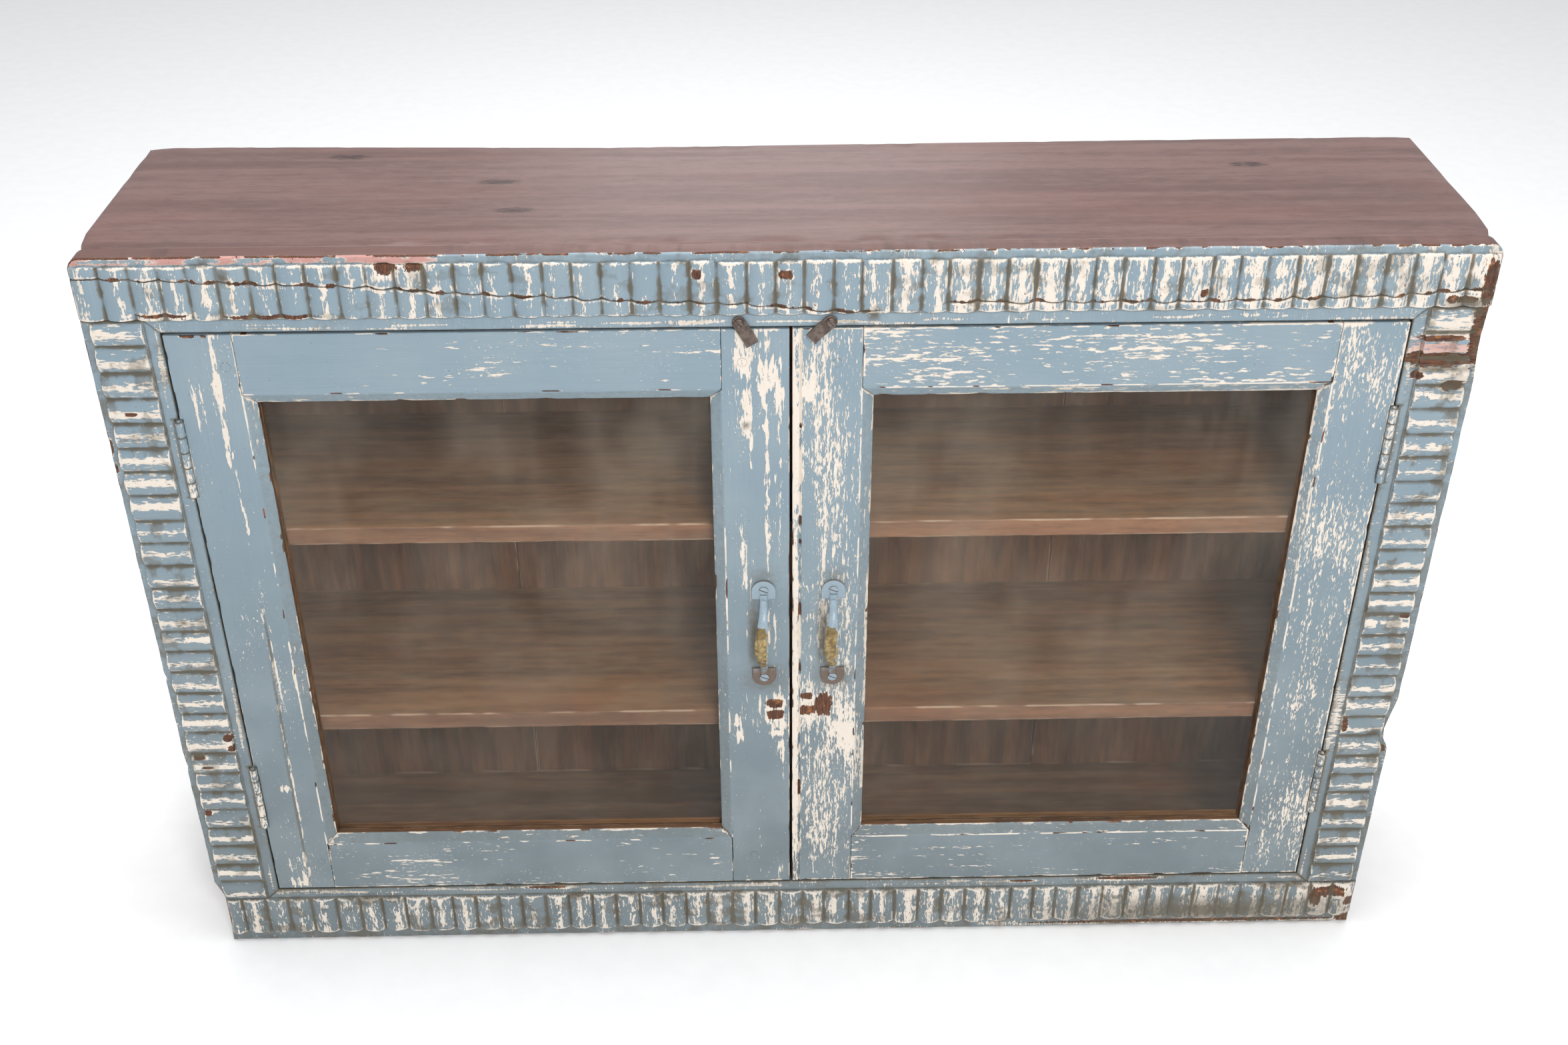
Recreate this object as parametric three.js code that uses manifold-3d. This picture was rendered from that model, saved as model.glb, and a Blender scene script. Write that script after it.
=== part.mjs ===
// A low, shallow painted cabinet with two glazed doors, two shelves and a reeded face frame.
//
// Millimetres, +Z up. The origin is the middle of the carcass underside. The doors face -Y
// and +X is to the right of someone who stands in front of them.

import * as THREE from 'three';
import { mergeVertices } from 'three/addons/utils/BufferGeometryUtils.js';
import Module from 'manifold-3d';

const wasm = await Module();
wasm.setup();

// ---------------------------------------------------------------- driving dimensions

const WIDTH = 1180;
const HEIGHT = 775;
const DEPTH = 255;
const BOARD = 20; // carcass top, bottom and sides
const BACK_BOARD = 12;
const BACK_PLANKS = 4;
const GAP = 0.3; // seam between neighbouring pieces

const FRAME_THICK = 24; // face frame, from its back to the crest of the reeds
const RELIEF = 5.5; // how far the reeds stand proud of the flat fillets
const OPENING = { half: 526, bottom: 70.5, top: 707 };
const FILLET = 11.5; // flat margin round the opening, mitred at its corners
const REED_STEPS = 6;
const REEDS_ACROSS = 49;
const REEDS_UP = 27;
const RAIL_REED_MARGIN = { top: 7, bottom: 12 };
const STILE_REED_MARGIN = 7;
const REED_ROOT = 0.4; // the valleys between reeds stay this far proud of the fillets

const SHELF = { thick: 18, upperTop: 497, lowerTop: 280 };
const CLEAT = { wide: 20, tall: 15, inset: 5 };

const DOOR_THICK = 23;
const DOOR_Z = { bottom: 72.5, top: 704.5 };
const DOOR_RAIL = { top: 57, bottom: 59 };
const HINGE_STILE = 57;
const BEVEL = { wide: 10.5, deep: 6 };
const LIP = 6; // square edge between the bevel and the glass
const REBATE = 8;
const GLASS = 3;
const BEAD_WIDE = 7.7;
const DOORS = {
  left: { side: -1, hingeEdge: -524.5, meetingEdge: -0.5, meetingStile: 58, pullX: -24.5 },
  right: { side: 1, hingeEdge: 524.5, meetingEdge: 2, meetingStile: 60, pullX: 40 },
};
const QUIRK = { fromEdge: 6.3, wide: 1.2, deep: 1.5 }; // groove that raises a bead on the right door

const HINGE = { length: 76, knuckles: 5, radius: 3.4, bore: 1.7, pin: 1.6, leafThick: 1.5 };
const HINGE_AXIS = { x: 525.25, y: -123.5 };
const LEAF_DEPTH = 19;
const LEAF_OFFSET = 0.3; // from the hinge axis to the near face of each leaf
const KNUCKLE_ROOM = 0.45;
const HINGE_Z = { upper: 585, lower: 196 };

const PULL = { z: 388.5, half: 60, reach: 25, thick: 3.5, plate: 2, plateTall: 20.25 };
const PULL_WIDE = { plate: 22.5, neck: 7, grip: 12.5 };
const PULL_STEPS = 14;
const PULL_SCREW = { fromMiddle: 50, head: 3.5, headTall: 1.2, shank: 1.5, hole: 1.8, long: 12 };

const BUTTONS = {
  left: { x: -43, fromDown: 30 },
  right: { x: 34, fromDown: -47 },
};
const BUTTON = { z: 712, wide: 11.5, arm: 22.5, thick: 1.6, bendAt: 16.5, bendOut: 2.4 };
const WASHER = { radius: 4.6, thick: 0.9 };
const BUTTON_SCREW = { head: 3.9, headTall: 2.1, shank: 1.8, hole: 2.1, long: 15, slot: 0.9 };

// Planes across the depth that several pieces share.
const CREST_Y = -DEPTH / 2;
const FACE_Y = CREST_Y + RELIEF;
const FRAME_BACK_Y = CREST_Y + FRAME_THICK;
const CARCASS_Y = FRAME_BACK_Y + GAP;
const REAR_Y = DEPTH / 2;
const BACK_Y = REAR_Y - BACK_BOARD;
const DOOR_BACK_Y = FACE_Y + DOOR_THICK;
const GLASS_Y = FACE_Y + BEVEL.deep + LIP + GAP;

const FINISHES = {
  paint: { color: 0x8ea7b8, roughness: 0.55, metalness: 0 },
  stainedTop: { color: 0x7d6260, roughness: 0.45, metalness: 0 },
  bareWood: { color: 0x5b4436, roughness: 0.8, metalness: 0 },
  glass: { color: 0xdfe8e6, roughness: 0.05, metalness: 0, transparent: true, opacity: 0.3 },
  paintedIron: { color: 0x8f9aa0, roughness: 0.5, metalness: 0.6 },
  wornBrass: { color: 0xa08a55, roughness: 0.35, metalness: 0.9 },
  darkIron: { color: 0x44413f, roughness: 0.5, metalness: 0.8 },
};

// ---------------------------------------------------------------- solids and their helpers

/** A closed geometry as a solid that can be joined and cut. */
function solid(geometry) {
  const bare = geometry.clone();
  bare.deleteAttribute('normal');
  bare.deleteAttribute('uv');
  const merged = mergeVertices(bare, 1e-4);
  const vertProperties = new Float32Array(merged.attributes.position.array);
  const triVerts = new Uint32Array(merged.index.array);
  return new wasm.Manifold(new wasm.Mesh({ numProp: 3, vertProperties, triVerts }));
}

/** A solid as a geometry that a mesh can hold. */
function geometryOf(body) {
  const { vertProperties, triVerts, numProp } = body.getMesh();
  const positions = new Float32Array((vertProperties.length / numProp) * 3);
  for (let i = 0; i < positions.length / 3; i++) {
    positions.set(vertProperties.slice(i * numProp, i * numProp + 3), i * 3);
  }
  const geometry = new THREE.BufferGeometry();
  geometry.setAttribute('position', new THREE.BufferAttribute(positions, 3));
  geometry.setIndex(new THREE.BufferAttribute(new Uint32Array(triVerts), 1));
  geometry.computeVertexNormals();
  return geometry;
}

/** A block between two x, two y and two z values, each pair in either order. */
function block([xa, xb], [ya, yb], [za, zb]) {
  const geometry = new THREE.BoxGeometry(Math.abs(xb - xa), Math.abs(yb - ya), Math.abs(zb - za));
  geometry.translate((xa + xb) / 2, (ya + yb) / 2, (za + zb) / 2);
  return solid(geometry);
}

function extruded(points, depth) {
  const shape = new THREE.Shape(points.map(([a, b]) => new THREE.Vector2(a, b)));
  return new THREE.ExtrudeGeometry(shape, { depth, bevelEnabled: false });
}

/** An outline of x, y points raised from z0 to z1. */
function prismXY(points, z0, z1) {
  return solid(extruded(points, z1 - z0).translate(0, 0, z0));
}

/** An outline of x, z points carried from y0 back to y1. */
function prismXZ(points, y0, y1) {
  return solid(extruded(points, y1 - y0).rotateX(Math.PI / 2).translate(0, y1, 0));
}

/** An outline of y, z points carried from x0 to x1. */
function prismYZ(points, x0, x1) {
  const turn = new THREE.Matrix4().makeBasis(
    new THREE.Vector3(0, 1, 0),
    new THREE.Vector3(0, 0, 1),
    new THREE.Vector3(1, 0, 0),
  );
  return solid(extruded(points, x1 - x0).applyMatrix4(turn).translate(x0, 0, 0));
}

/** A rod along Y at x, z. */
function rodY(x, z, radius, y0, y1, sides = 16) {
  const geometry = new THREE.CylinderGeometry(radius, radius, y1 - y0, sides);
  return solid(geometry.translate(x, (y0 + y1) / 2, z));
}

/** A rod along Z at x, y. */
function rodZ(x, y, radius, z0, z1, sides = 24) {
  const geometry = new THREE.CylinderGeometry(radius, radius, z1 - z0, sides);
  return solid(geometry.rotateX(Math.PI / 2).translate(x, y, (z0 + z1) / 2));
}

const union = (bodies) => bodies.reduce((all, next) => all.add(next));
const without = (body, cuts) => cuts.reduce((left, cut) => left.subtract(cut), body);

const cabinet = new THREE.Group();

/** Adds one named piece, with a material of its own, to a group. */
function place(group, name, body, finish) {
  const mesh = new THREE.Mesh(geometryOf(body), new THREE.MeshStandardMaterial(FINISHES[finish]));
  mesh.name = name;
  group.add(mesh);
  return mesh;
}

// ---------------------------------------------------------------- carcass

function buildCarcass(group) {
  const inner = WIDTH / 2 - BOARD;
  const depth = [CARCASS_Y, REAR_Y];
  const across = [-WIDTH / 2, WIDTH / 2];
  place(group, 'top_board', block(across, depth, [HEIGHT - BOARD, HEIGHT]), 'stainedTop');
  place(group, 'bottom_board', block(across, depth, [0, BOARD]), 'bareWood');
  const between = [BOARD + GAP, HEIGHT - BOARD - GAP];
  for (const [name, side] of [['left', -1], ['right', 1]]) {
    const x = [side * inner, (side * WIDTH) / 2];
    place(group, `side_board_${name}`, block(x, depth, between), 'stainedTop');
  }

  const clearWidth = 2 * (inner - GAP);
  const plankPitch = (clearWidth + GAP) / BACK_PLANKS;
  for (let i = 0; i < BACK_PLANKS; i++) {
    const x0 = -clearWidth / 2 + i * plankPitch;
    const plank = block([x0, x0 + plankPitch - GAP], [BACK_Y, REAR_Y], between);
    place(group, `back_board_${i + 1}`, plank, 'bareWood');
  }

  // The doors close against the front edges of the shelves.
  const shelfDepth = [DOOR_BACK_Y + GAP, BACK_Y - GAP];
  const shelfWidth = [-clearWidth / 2, clearWidth / 2];
  for (const level of ['upper', 'lower']) {
    const top = SHELF[`${level}Top`];
    const bottom = top - SHELF.thick;
    place(group, `shelf_${level}`, block(shelfWidth, shelfDepth, [bottom, top]), 'bareWood');
    for (const [name, side] of [['left', -1], ['right', 1]]) {
      const outer = inner - GAP;
      const cleat = block(
        [side * (outer - CLEAT.wide), side * outer],
        [shelfDepth[0] + CLEAT.inset, shelfDepth[1] - CLEAT.inset],
        [bottom - GAP - CLEAT.tall, bottom - GAP],
      );
      place(group, `shelf_${level}_cleat_${name}`, cleat, 'bareWood');
    }
  }
}

// ---------------------------------------------------------------- face frame

/** Heights of a row of convex reeds above the fillets, as [distance along, height] points. */
function reedLine(from, to, count) {
  const pitch = (to - from) / count;
  const rise = RELIEF - REED_ROOT;
  const radius = pitch ** 2 / (8 * rise) + rise / 2;
  const points = [];
  for (let i = 0; i < count * REED_STEPS; i++) {
    const along = (i * pitch) / REED_STEPS;
    const fromCrest = (along % pitch) - pitch / 2;
    const drop = radius - Math.sqrt(radius ** 2 - fromCrest ** 2);
    points.push([from + along, RELIEF - drop]);
  }
  points.push([to, REED_ROOT]);
  return points;
}

/** Where the hinges of one side are let into the wood around their axis. */
function hingePockets(side) {
  const room = HINGE.radius + KNUCKLE_ROOM;
  const leafRoom = LEAF_OFFSET + HINGE.leafThick + GAP;
  return Object.values(HINGE_Z).flatMap((z) => {
    const half = HINGE.length / 2;
    const x = (u) => side * (HINGE_AXIS.x + u);
    const barrel = block(
      [x(-room), x(room)],
      [CREST_Y - 1, HINGE_AXIS.y + room],
      [z - half - 1.4, z + half + 1.4],
    );
    const leaves = block(
      [x(-leafRoom), x(leafRoom)],
      [HINGE_AXIS.y, HINGE_AXIS.y + LEAF_DEPTH + GAP],
      [z - half - GAP, z + half + GAP],
    );
    return [barrel, leaves];
  });
}

function buildFaceFrame(group) {
  const edge = WIDTH / 2;
  const half = GAP / 2;
  const mitre = half * Math.SQRT2; // how far a cut at 45 degrees moves along an axis
  const heel = half * (Math.SQRT2 - 1);
  const { half: open, top, bottom } = OPENING;
  const reedIn = open + FILLET;
  const reedTop = top + FILLET;
  const reedBottom = bottom - FILLET;
  const slab = (points) => prismXZ(points, FACE_Y, FRAME_BACK_Y);
  const crest = (line) => line.map(([along, height]) => [along, FACE_Y - height]);

  const rails = {
    top: { z: [reedTop, HEIGHT - RAIL_REED_MARGIN.top], seam: reedTop, lip: top, far: HEIGHT, up: 1 },
    bottom: { z: [RAIL_REED_MARGIN.bottom, reedBottom], seam: reedBottom, lip: bottom, far: 0, up: -1 },
  };
  for (const [name, { z, seam, lip, far, up }] of Object.entries(rails)) {
    const outline = [
      [-edge, far],
      [edge, far],
      [edge, seam + up * half],
      [reedIn - heel, seam + up * half],
      [open - mitre, lip],
      [-open + mitre, lip],
      [-reedIn + heel, seam + up * half],
      [-edge, seam + up * half],
    ];
    const ends = up > 0 ? [z[0] + half, z[1]] : [z[0], z[1] - half];
    const reeds = prismXY(
      [...crest(reedLine(-edge, edge, REEDS_ACROSS)), [edge, FACE_Y + 1], [-edge, FACE_Y + 1]],
      ...ends,
    );
    let rail = slab(outline).add(reeds);
    if (name === 'top') {
      const holes = Object.values(BUTTONS).map(({ x }) =>
        rodY(x, BUTTON.z, BUTTON_SCREW.hole, FACE_Y - 1, FACE_Y + BUTTON_SCREW.long + 1),
      );
      rail = without(rail, holes);
    }
    place(group, `frame_${name}_rail`, rail, 'paint');
  }

  for (const [name, side] of [['left', -1], ['right', 1]]) {
    const outline = [
      [open, bottom + mitre],
      [reedIn + heel, reedBottom + half],
      [edge, reedBottom + half],
      [edge, reedTop - half],
      [reedIn + heel, reedTop - half],
      [open, top - mitre],
    ].map(([x, z]) => [side * x, z]);
    const line = reedLine(reedBottom + half, reedTop - half, REEDS_UP);
    const profile = [
      ...line.map(([along, height]) => [FACE_Y - height, along]),
      [FACE_Y + 1, reedTop - half],
      [FACE_Y + 1, reedBottom + half],
    ];
    const reedX = [side * reedIn, side * (edge - STILE_REED_MARGIN)].sort((a, b) => a - b);
    const stile = slab(outline).add(prismYZ(profile, ...reedX));
    place(group, `frame_stile_${name}`, without(stile, hingePockets(side)), 'paint');
  }
}

// ---------------------------------------------------------------- hinges

/** One leaf of a butt hinge: a plate with every other knuckle, bored for the pin. */
function hingeLeaf(side, z, toFrame) {
  const step = HINGE.length / HINGE.knuckles;
  const start = z - HINGE.length / 2;
  const x = (u) => side * (HINGE_AXIS.x + (toFrame ? u : -u));
  const plateX = [x(LEAF_OFFSET), x(LEAF_OFFSET + HINGE.leafThick)];
  const plateY = [HINGE_AXIS.y, HINGE_AXIS.y + LEAF_DEPTH];
  const plate = block(plateX, plateY, [start, start + HINGE.length]);
  const own = [];
  const clearances = [];
  for (let i = 0; i < HINGE.knuckles; i++) {
    const [from, to] = [start + i * step, start + (i + 1) * step];
    if ((i % 2 === 0) === toFrame) {
      own.push(rodZ(side * HINGE_AXIS.x, HINGE_AXIS.y, HINGE.radius, from + GAP / 2, to - GAP / 2));
    } else {
      const clear = HINGE_AXIS.y + HINGE.radius + KNUCKLE_ROOM;
      clearances.push(block([x(-9), x(9)], [CREST_Y, clear], [from - GAP / 2, to + GAP / 2]));
    }
  }
  const bore = rodZ(side * HINGE_AXIS.x, HINGE_AXIS.y, HINGE.bore, start - 1, start + HINGE.length + 1);
  return without(union([without(plate, clearances), ...own]), [bore]);
}

function buildHinges(cabinetGroup, doorGroup, name, side) {
  for (const [level, z] of Object.entries(HINGE_Z)) {
    const stem = `hinge_${name}_${level}`;
    place(cabinetGroup, `${stem}_frame_leaf`, hingeLeaf(side, z, true), 'paintedIron');
    place(doorGroup, `${stem}_door_leaf`, hingeLeaf(side, z, false), 'paintedIron');
    const reach = HINGE.length / 2 + 0.8;
    const pin = rodZ(side * HINGE_AXIS.x, HINGE_AXIS.y, HINGE.pin, z - reach, z + reach);
    place(cabinetGroup, `${stem}_pin`, pin, 'paintedIron');
  }
}

// ---------------------------------------------------------------- doors

/** A rectangular frustum that narrows from the front opening to the sight opening. */
function bevelCut(sight) {
  const over = 1;
  const slope = BEVEL.wide / BEVEL.deep;
  const trapezium = ([low, high]) => [
    [low - BEVEL.wide - over * slope, FACE_Y - over],
    [high + BEVEL.wide + over * slope, FACE_Y - over],
    [high, FACE_Y + BEVEL.deep],
    [low, FACE_Y + BEVEL.deep],
  ];
  const past = BEVEL.wide * 2;
  const plan = prismXY(trapezium(sight.x), sight.z[0] - past, sight.z[1] + past);
  const side = prismYZ(
    trapezium(sight.z).map(([z, y]) => [y, z]),
    sight.x[0] - past,
    sight.x[1] + past,
  );
  return plan.intersect(side);
}

/** Outlines of a door's four frame pieces: stiles run through, and the bevels meet in mitres. */
function doorRegions(outer, joint) {
  const half = GAP / 2;
  const mitre = half * Math.SQRT2;
  const heel = half * (Math.SQRT2 - 1);
  const reach = BEVEL.wide + 1;
  const stile = (edge, seam, inward) => [
    [edge, outer.z[0]],
    [seam - inward * half, outer.z[0]],
    [seam - inward * half, joint.z[0] + heel],
    [seam + inward * reach, joint.z[0] + reach + mitre],
    [seam + inward * reach, joint.z[1] - reach - mitre],
    [seam - inward * half, joint.z[1] - heel],
    [seam - inward * half, outer.z[1]],
    [edge, outer.z[1]],
  ];
  const rail = (edge, seam, inward) => [
    [joint.x[0] + half, edge],
    [joint.x[0] + half, seam - inward * heel],
    [joint.x[0] + reach + mitre, seam + inward * reach],
    [joint.x[1] - reach - mitre, seam + inward * reach],
    [joint.x[1] - half, seam - inward * heel],
    [joint.x[1] - half, edge],
  ];
  return {
    low: stile(outer.x[0], joint.x[0], 1),
    high: stile(outer.x[1], joint.x[1], -1),
    bottom_rail: rail(outer.z[0], joint.z[0], 1),
    top_rail: rail(outer.z[1], joint.z[1], -1),
  };
}

function buildDoor(group, name, { side, hingeEdge, meetingEdge, meetingStile, pullX }) {
  const outer = { x: [hingeEdge, meetingEdge].sort((a, b) => a - b), z: [DOOR_Z.bottom, DOOR_Z.top] };
  const seams = [hingeEdge - side * HINGE_STILE, meetingEdge + side * meetingStile];
  const joint = {
    x: seams.sort((a, b) => a - b),
    z: [DOOR_Z.bottom + DOOR_RAIL.bottom, DOOR_Z.top - DOOR_RAIL.top],
  };
  const sight = {
    x: [joint.x[0] + BEVEL.wide, joint.x[1] - BEVEL.wide],
    z: [joint.z[0] + BEVEL.wide, joint.z[1] - BEVEL.wide],
  };
  const grown = ([low, high], by) => [low - by, high + by];
  const screwZ = [PULL.z + PULL_SCREW.fromMiddle, PULL.z - PULL_SCREW.fromMiddle];

  const cuts = [
    block(sight.x, [FACE_Y - 1, DOOR_BACK_Y + 1], sight.z),
    bevelCut(sight),
    block(grown(sight.x, REBATE), [GLASS_Y - GAP, DOOR_BACK_Y + 1], grown(sight.z, REBATE)),
    ...hingePockets(side),
    ...screwZ.map((z) => rodY(pullX, z, PULL_SCREW.hole, FACE_Y - 1, FACE_Y + PULL_SCREW.long)),
  ];
  if (side > 0) {
    const x = meetingEdge + QUIRK.fromEdge;
    cuts.push(block([x, x + QUIRK.wide], [FACE_Y - 1, FACE_Y + QUIRK.deep], grown(outer.z, 1)));
  }
  const blank = without(block(outer.x, [FACE_Y, DOOR_BACK_Y], outer.z), cuts);

  const { low, high, ...rails } = doorRegions(outer, joint);
  const [hingeStile, otherStile] = side < 0 ? [low, high] : [high, low];
  const pieces = { hinge_stile: hingeStile, meeting_stile: otherStile, ...rails };
  for (const [piece, outline] of Object.entries(pieces)) {
    const region = prismXZ(outline, FACE_Y - 1, DOOR_BACK_Y + 1);
    place(group, `door_${name}_${piece}`, blank.intersect(region), 'paint');
  }

  const pane = block(grown(sight.x, REBATE - 0.5), [GLASS_Y, GLASS_Y + GLASS], grown(sight.z, REBATE - 0.5));
  place(group, `door_${name}_glass`, pane, 'glass');

  // Square beads hold the pane from behind: the upright ones run through.
  const beadY = [GLASS_Y + GLASS + GAP, DOOR_BACK_Y - GAP];
  const beadEnds = grown(sight.z, BEAD_WIDE);
  const upright = (x, out) => block([x, x + out * BEAD_WIDE], beadY, beadEnds);
  const level = (z, out) => block(grown(sight.x, -GAP), beadY, [z, z + out * BEAD_WIDE]);
  const beads = {
    [side < 0 ? 'hinge_side' : 'meeting_side']: upright(sight.x[0], -1),
    [side < 0 ? 'meeting_side' : 'hinge_side']: upright(sight.x[1], 1),
    bottom: level(sight.z[0], -1),
    top: level(sight.z[1], 1),
  };
  for (const [where, bead] of Object.entries(beads)) {
    place(group, `door_${name}_bead_${where}`, bead, 'bareWood');
  }

  place(group, `door_${name}_pull`, pull(pullX, screwZ), 'wornBrass');
  const plateFront = FACE_Y - GAP - PULL.plate;
  for (const [where, z] of [['upper', screwZ[0]], ['lower', screwZ[1]]]) {
    const shank = rodY(pullX, z, PULL_SCREW.shank, plateFront - 1, FACE_Y + PULL_SCREW.long - 1);
    const headBack = plateFront - GAP;
    const head = rodY(pullX, z, PULL_SCREW.head, headBack - PULL_SCREW.headTall, headBack);
    place(group, `door_${name}_pull_screw_${where}`, shank.add(head), 'wornBrass');
  }
}

/** A bow handle: a side profile with two feet and an arched grip, cut to its front outline. */
function pull(x, screwZ) {
  const footBack = FACE_Y - GAP;
  const footFront = footBack - PULL.plate;
  const neckZ = PULL.half - PULL.plateTall;
  const sagitta = PULL.reach - GAP - PULL.plate;
  const radius = (neckZ ** 2 / sagitta + sagitta) / 2;
  const centreY = FACE_Y - PULL.reach + radius;
  const arc = (r, endAngle) =>
    Array.from({ length: PULL_STEPS + 1 }, (_, i) => {
      const angle = endAngle * (1 - (2 * i) / PULL_STEPS);
      return [centreY - r * Math.cos(angle), PULL.z + r * Math.sin(angle)];
    });
  const outer = arc(radius, Math.asin(neckZ / radius));
  const innerRadius = radius - PULL.thick;
  const inner = arc(innerRadius, Math.acos((centreY - footBack) / innerRadius));
  const profile = [
    [footBack, PULL.z + PULL.half],
    [footFront, PULL.z + PULL.half],
    ...outer,
    [footFront, PULL.z - PULL.half],
    [footBack, PULL.z - PULL.half],
    ...inner.reverse(),
  ];

  const footRadius = PULL_WIDE.plate / 2;
  const roundStart = PULL.half - footRadius;
  const rightSide = [];
  for (let i = 0; i <= PULL_STEPS; i++) {
    const z = -neckZ + (2 * neckZ * i) / PULL_STEPS;
    const swell = Math.cos((Math.PI * z) / (2 * neckZ)) ** 2;
    rightSide.push([(PULL_WIDE.neck + (PULL_WIDE.grip - PULL_WIDE.neck) * swell) / 2, z]);
  }
  rightSide.push([footRadius, neckZ + 2]);
  for (let i = 0; i <= 6; i++) {
    const angle = (Math.PI / 2) * (i / 6);
    rightSide.push([footRadius * Math.cos(angle), roundStart + footRadius * Math.sin(angle)]);
  }
  const below = rightSide.slice(PULL_STEPS + 1, -1).map(([half, z]) => [half, -z]);
  const ring = [[0, -PULL.half], ...below.reverse(), ...rightSide];
  const leftSide = ring.slice(1, -1).map(([half, z]) => [-half, z]);
  const front = [...ring, ...leftSide.reverse()].map(([half, z]) => [x + half, PULL.z + z]);

  const bar = prismYZ(profile, x - PULL_WIDE.plate, x + PULL_WIDE.plate);
  const outline = prismXZ(front, FACE_Y - PULL.reach - 1, FACE_Y);
  const holes = screwZ.map((z) => rodY(x, z, PULL_SCREW.hole, FACE_Y - 8, FACE_Y));
  return without(bar.intersect(outline), holes);
}

// ---------------------------------------------------------------- turn buttons

/** A flat strip that pivots near its rounded end, its square tip bent forward as a finger lift. */
function turnButtonStrip() {
  const half = BUTTON.wide / 2;
  const outline = [];
  for (let i = 0; i <= 10; i++) {
    const angle = Math.PI * (i / 10);
    outline.push([half * Math.cos(angle), half * Math.sin(angle)]);
  }
  outline.push([-half, -BUTTON.arm], [half, -BUTTON.arm]);
  const front = prismXZ(outline, -10, 10);
  const profile = [
    [0, half + 1],
    [-BUTTON.thick, half + 1],
    [-BUTTON.thick, -BUTTON.bendAt],
    [-BUTTON.thick - BUTTON.bendOut, -BUTTON.arm],
    [-BUTTON.bendOut, -BUTTON.arm],
    [0, -BUTTON.bendAt - 0.4],
  ];
  const strip = prismYZ(profile, -half - 1, half + 1).intersect(front);
  return without(strip, [rodY(0, 0, BUTTON_SCREW.hole, -10, 10)]);
}

function buildTurnButton(cabinetGroup, buttonGroup, name, { x, fromDown }) {
  const washerBack = FACE_Y - GAP;
  const washerFront = washerBack - WASHER.thick;
  const ring = rodY(x, BUTTON.z, WASHER.radius, washerFront, washerBack, 24);
  const hole = rodY(x, BUTTON.z, BUTTON_SCREW.hole, washerFront - 1, washerBack + 1);
  place(cabinetGroup, `turn_button_${name}_washer`, without(ring, [hole]), 'wornBrass');

  const stripBack = washerFront - GAP;
  const strip = place(buttonGroup, `turn_button_${name}_strip`, turnButtonStrip(), 'darkIron');
  strip.position.set(x, stripBack, BUTTON.z);
  strip.rotation.y = THREE.MathUtils.degToRad(-fromDown);

  const headBack = stripBack - BUTTON.thick - GAP;
  const headFront = headBack - BUTTON_SCREW.headTall;
  const shank = rodY(x, BUTTON.z, BUTTON_SCREW.shank, headFront + 1, FACE_Y + BUTTON_SCREW.long);
  const head = rodY(x, BUTTON.z, BUTTON_SCREW.head, headFront, headBack, 20);
  const slot = block(
    [x - BUTTON_SCREW.head - 1, x + BUTTON_SCREW.head + 1],
    [headFront - 1, headFront + 0.8],
    [BUTTON.z - BUTTON_SCREW.slot / 2, BUTTON.z + BUTTON_SCREW.slot / 2],
  );
  place(cabinetGroup, `turn_button_${name}_screw`, without(shank.add(head), [slot]), 'darkIron');
}

// ---------------------------------------------------------------- assembly

buildCarcass(cabinet);
buildFaceFrame(cabinet);
for (const [name, door] of Object.entries(DOORS)) {
  const doorGroup = new THREE.Group();
  buildDoor(doorGroup, name, door);
  buildHinges(cabinet, doorGroup, name, door.side);
  cabinet.add(doorGroup);
}
for (const [name, button] of Object.entries(BUTTONS)) {
  const buttonGroup = new THREE.Group();
  buildTurnButton(cabinet, buttonGroup, name, button);
  cabinet.add(buttonGroup);
}

export default cabinet;
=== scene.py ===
"""Looks of a low painted cabinet with two glazed doors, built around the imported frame.

Everything is in metres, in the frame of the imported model: the doors face -Y and +Z is up.
Sizes that read better in millimetres are multiplied by MM where they are used.
"""

import logging
import math
from collections.abc import Callable, Sequence
from dataclasses import dataclass, field
from enum import Enum
from functools import partial

import bmesh
import bpy
import numpy as np
from mathutils import Euler, Matrix, Vector


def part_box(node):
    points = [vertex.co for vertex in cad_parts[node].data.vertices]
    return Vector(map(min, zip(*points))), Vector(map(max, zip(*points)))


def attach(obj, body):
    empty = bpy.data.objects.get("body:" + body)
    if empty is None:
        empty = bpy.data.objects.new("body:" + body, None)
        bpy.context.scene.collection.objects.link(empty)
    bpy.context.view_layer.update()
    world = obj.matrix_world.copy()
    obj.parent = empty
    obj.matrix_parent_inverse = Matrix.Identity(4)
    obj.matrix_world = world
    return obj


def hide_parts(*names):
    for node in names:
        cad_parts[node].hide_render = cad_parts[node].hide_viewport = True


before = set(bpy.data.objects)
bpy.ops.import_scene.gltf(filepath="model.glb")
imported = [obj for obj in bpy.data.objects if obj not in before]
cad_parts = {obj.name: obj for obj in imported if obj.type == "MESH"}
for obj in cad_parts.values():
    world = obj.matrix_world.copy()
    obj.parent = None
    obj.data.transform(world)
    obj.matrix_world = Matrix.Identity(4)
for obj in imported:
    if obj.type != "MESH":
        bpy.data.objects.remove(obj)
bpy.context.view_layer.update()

MM = 0.001
SHARP_EDGE = math.radians(28)
SAME_PLANE = math.radians(0.4)
SAME_POINT = 2e-6
LOG = logging.getLogger("cabinet")

Color = tuple[float, float, float]
Socket = bpy.types.NodeSocket


def tint(red: int, green: int, blue: int) -> Color:
    """Turns an sRGB colour in the usual 0 to 255 steps into linear light.

    Args:
        red: the red step.
        green: the green step.
        blue: the blue step.

    Returns:
        The same colour as three linear values from 0 to 1.
    """
    steps = (value / 255 for value in (red, green, blue))
    return tuple(s / 12.92 if s <= 0.04045 else ((s + 0.055) / 1.055) ** 2.4 for s in steps)


# ---------------------------------------------------------------- named options


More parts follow.
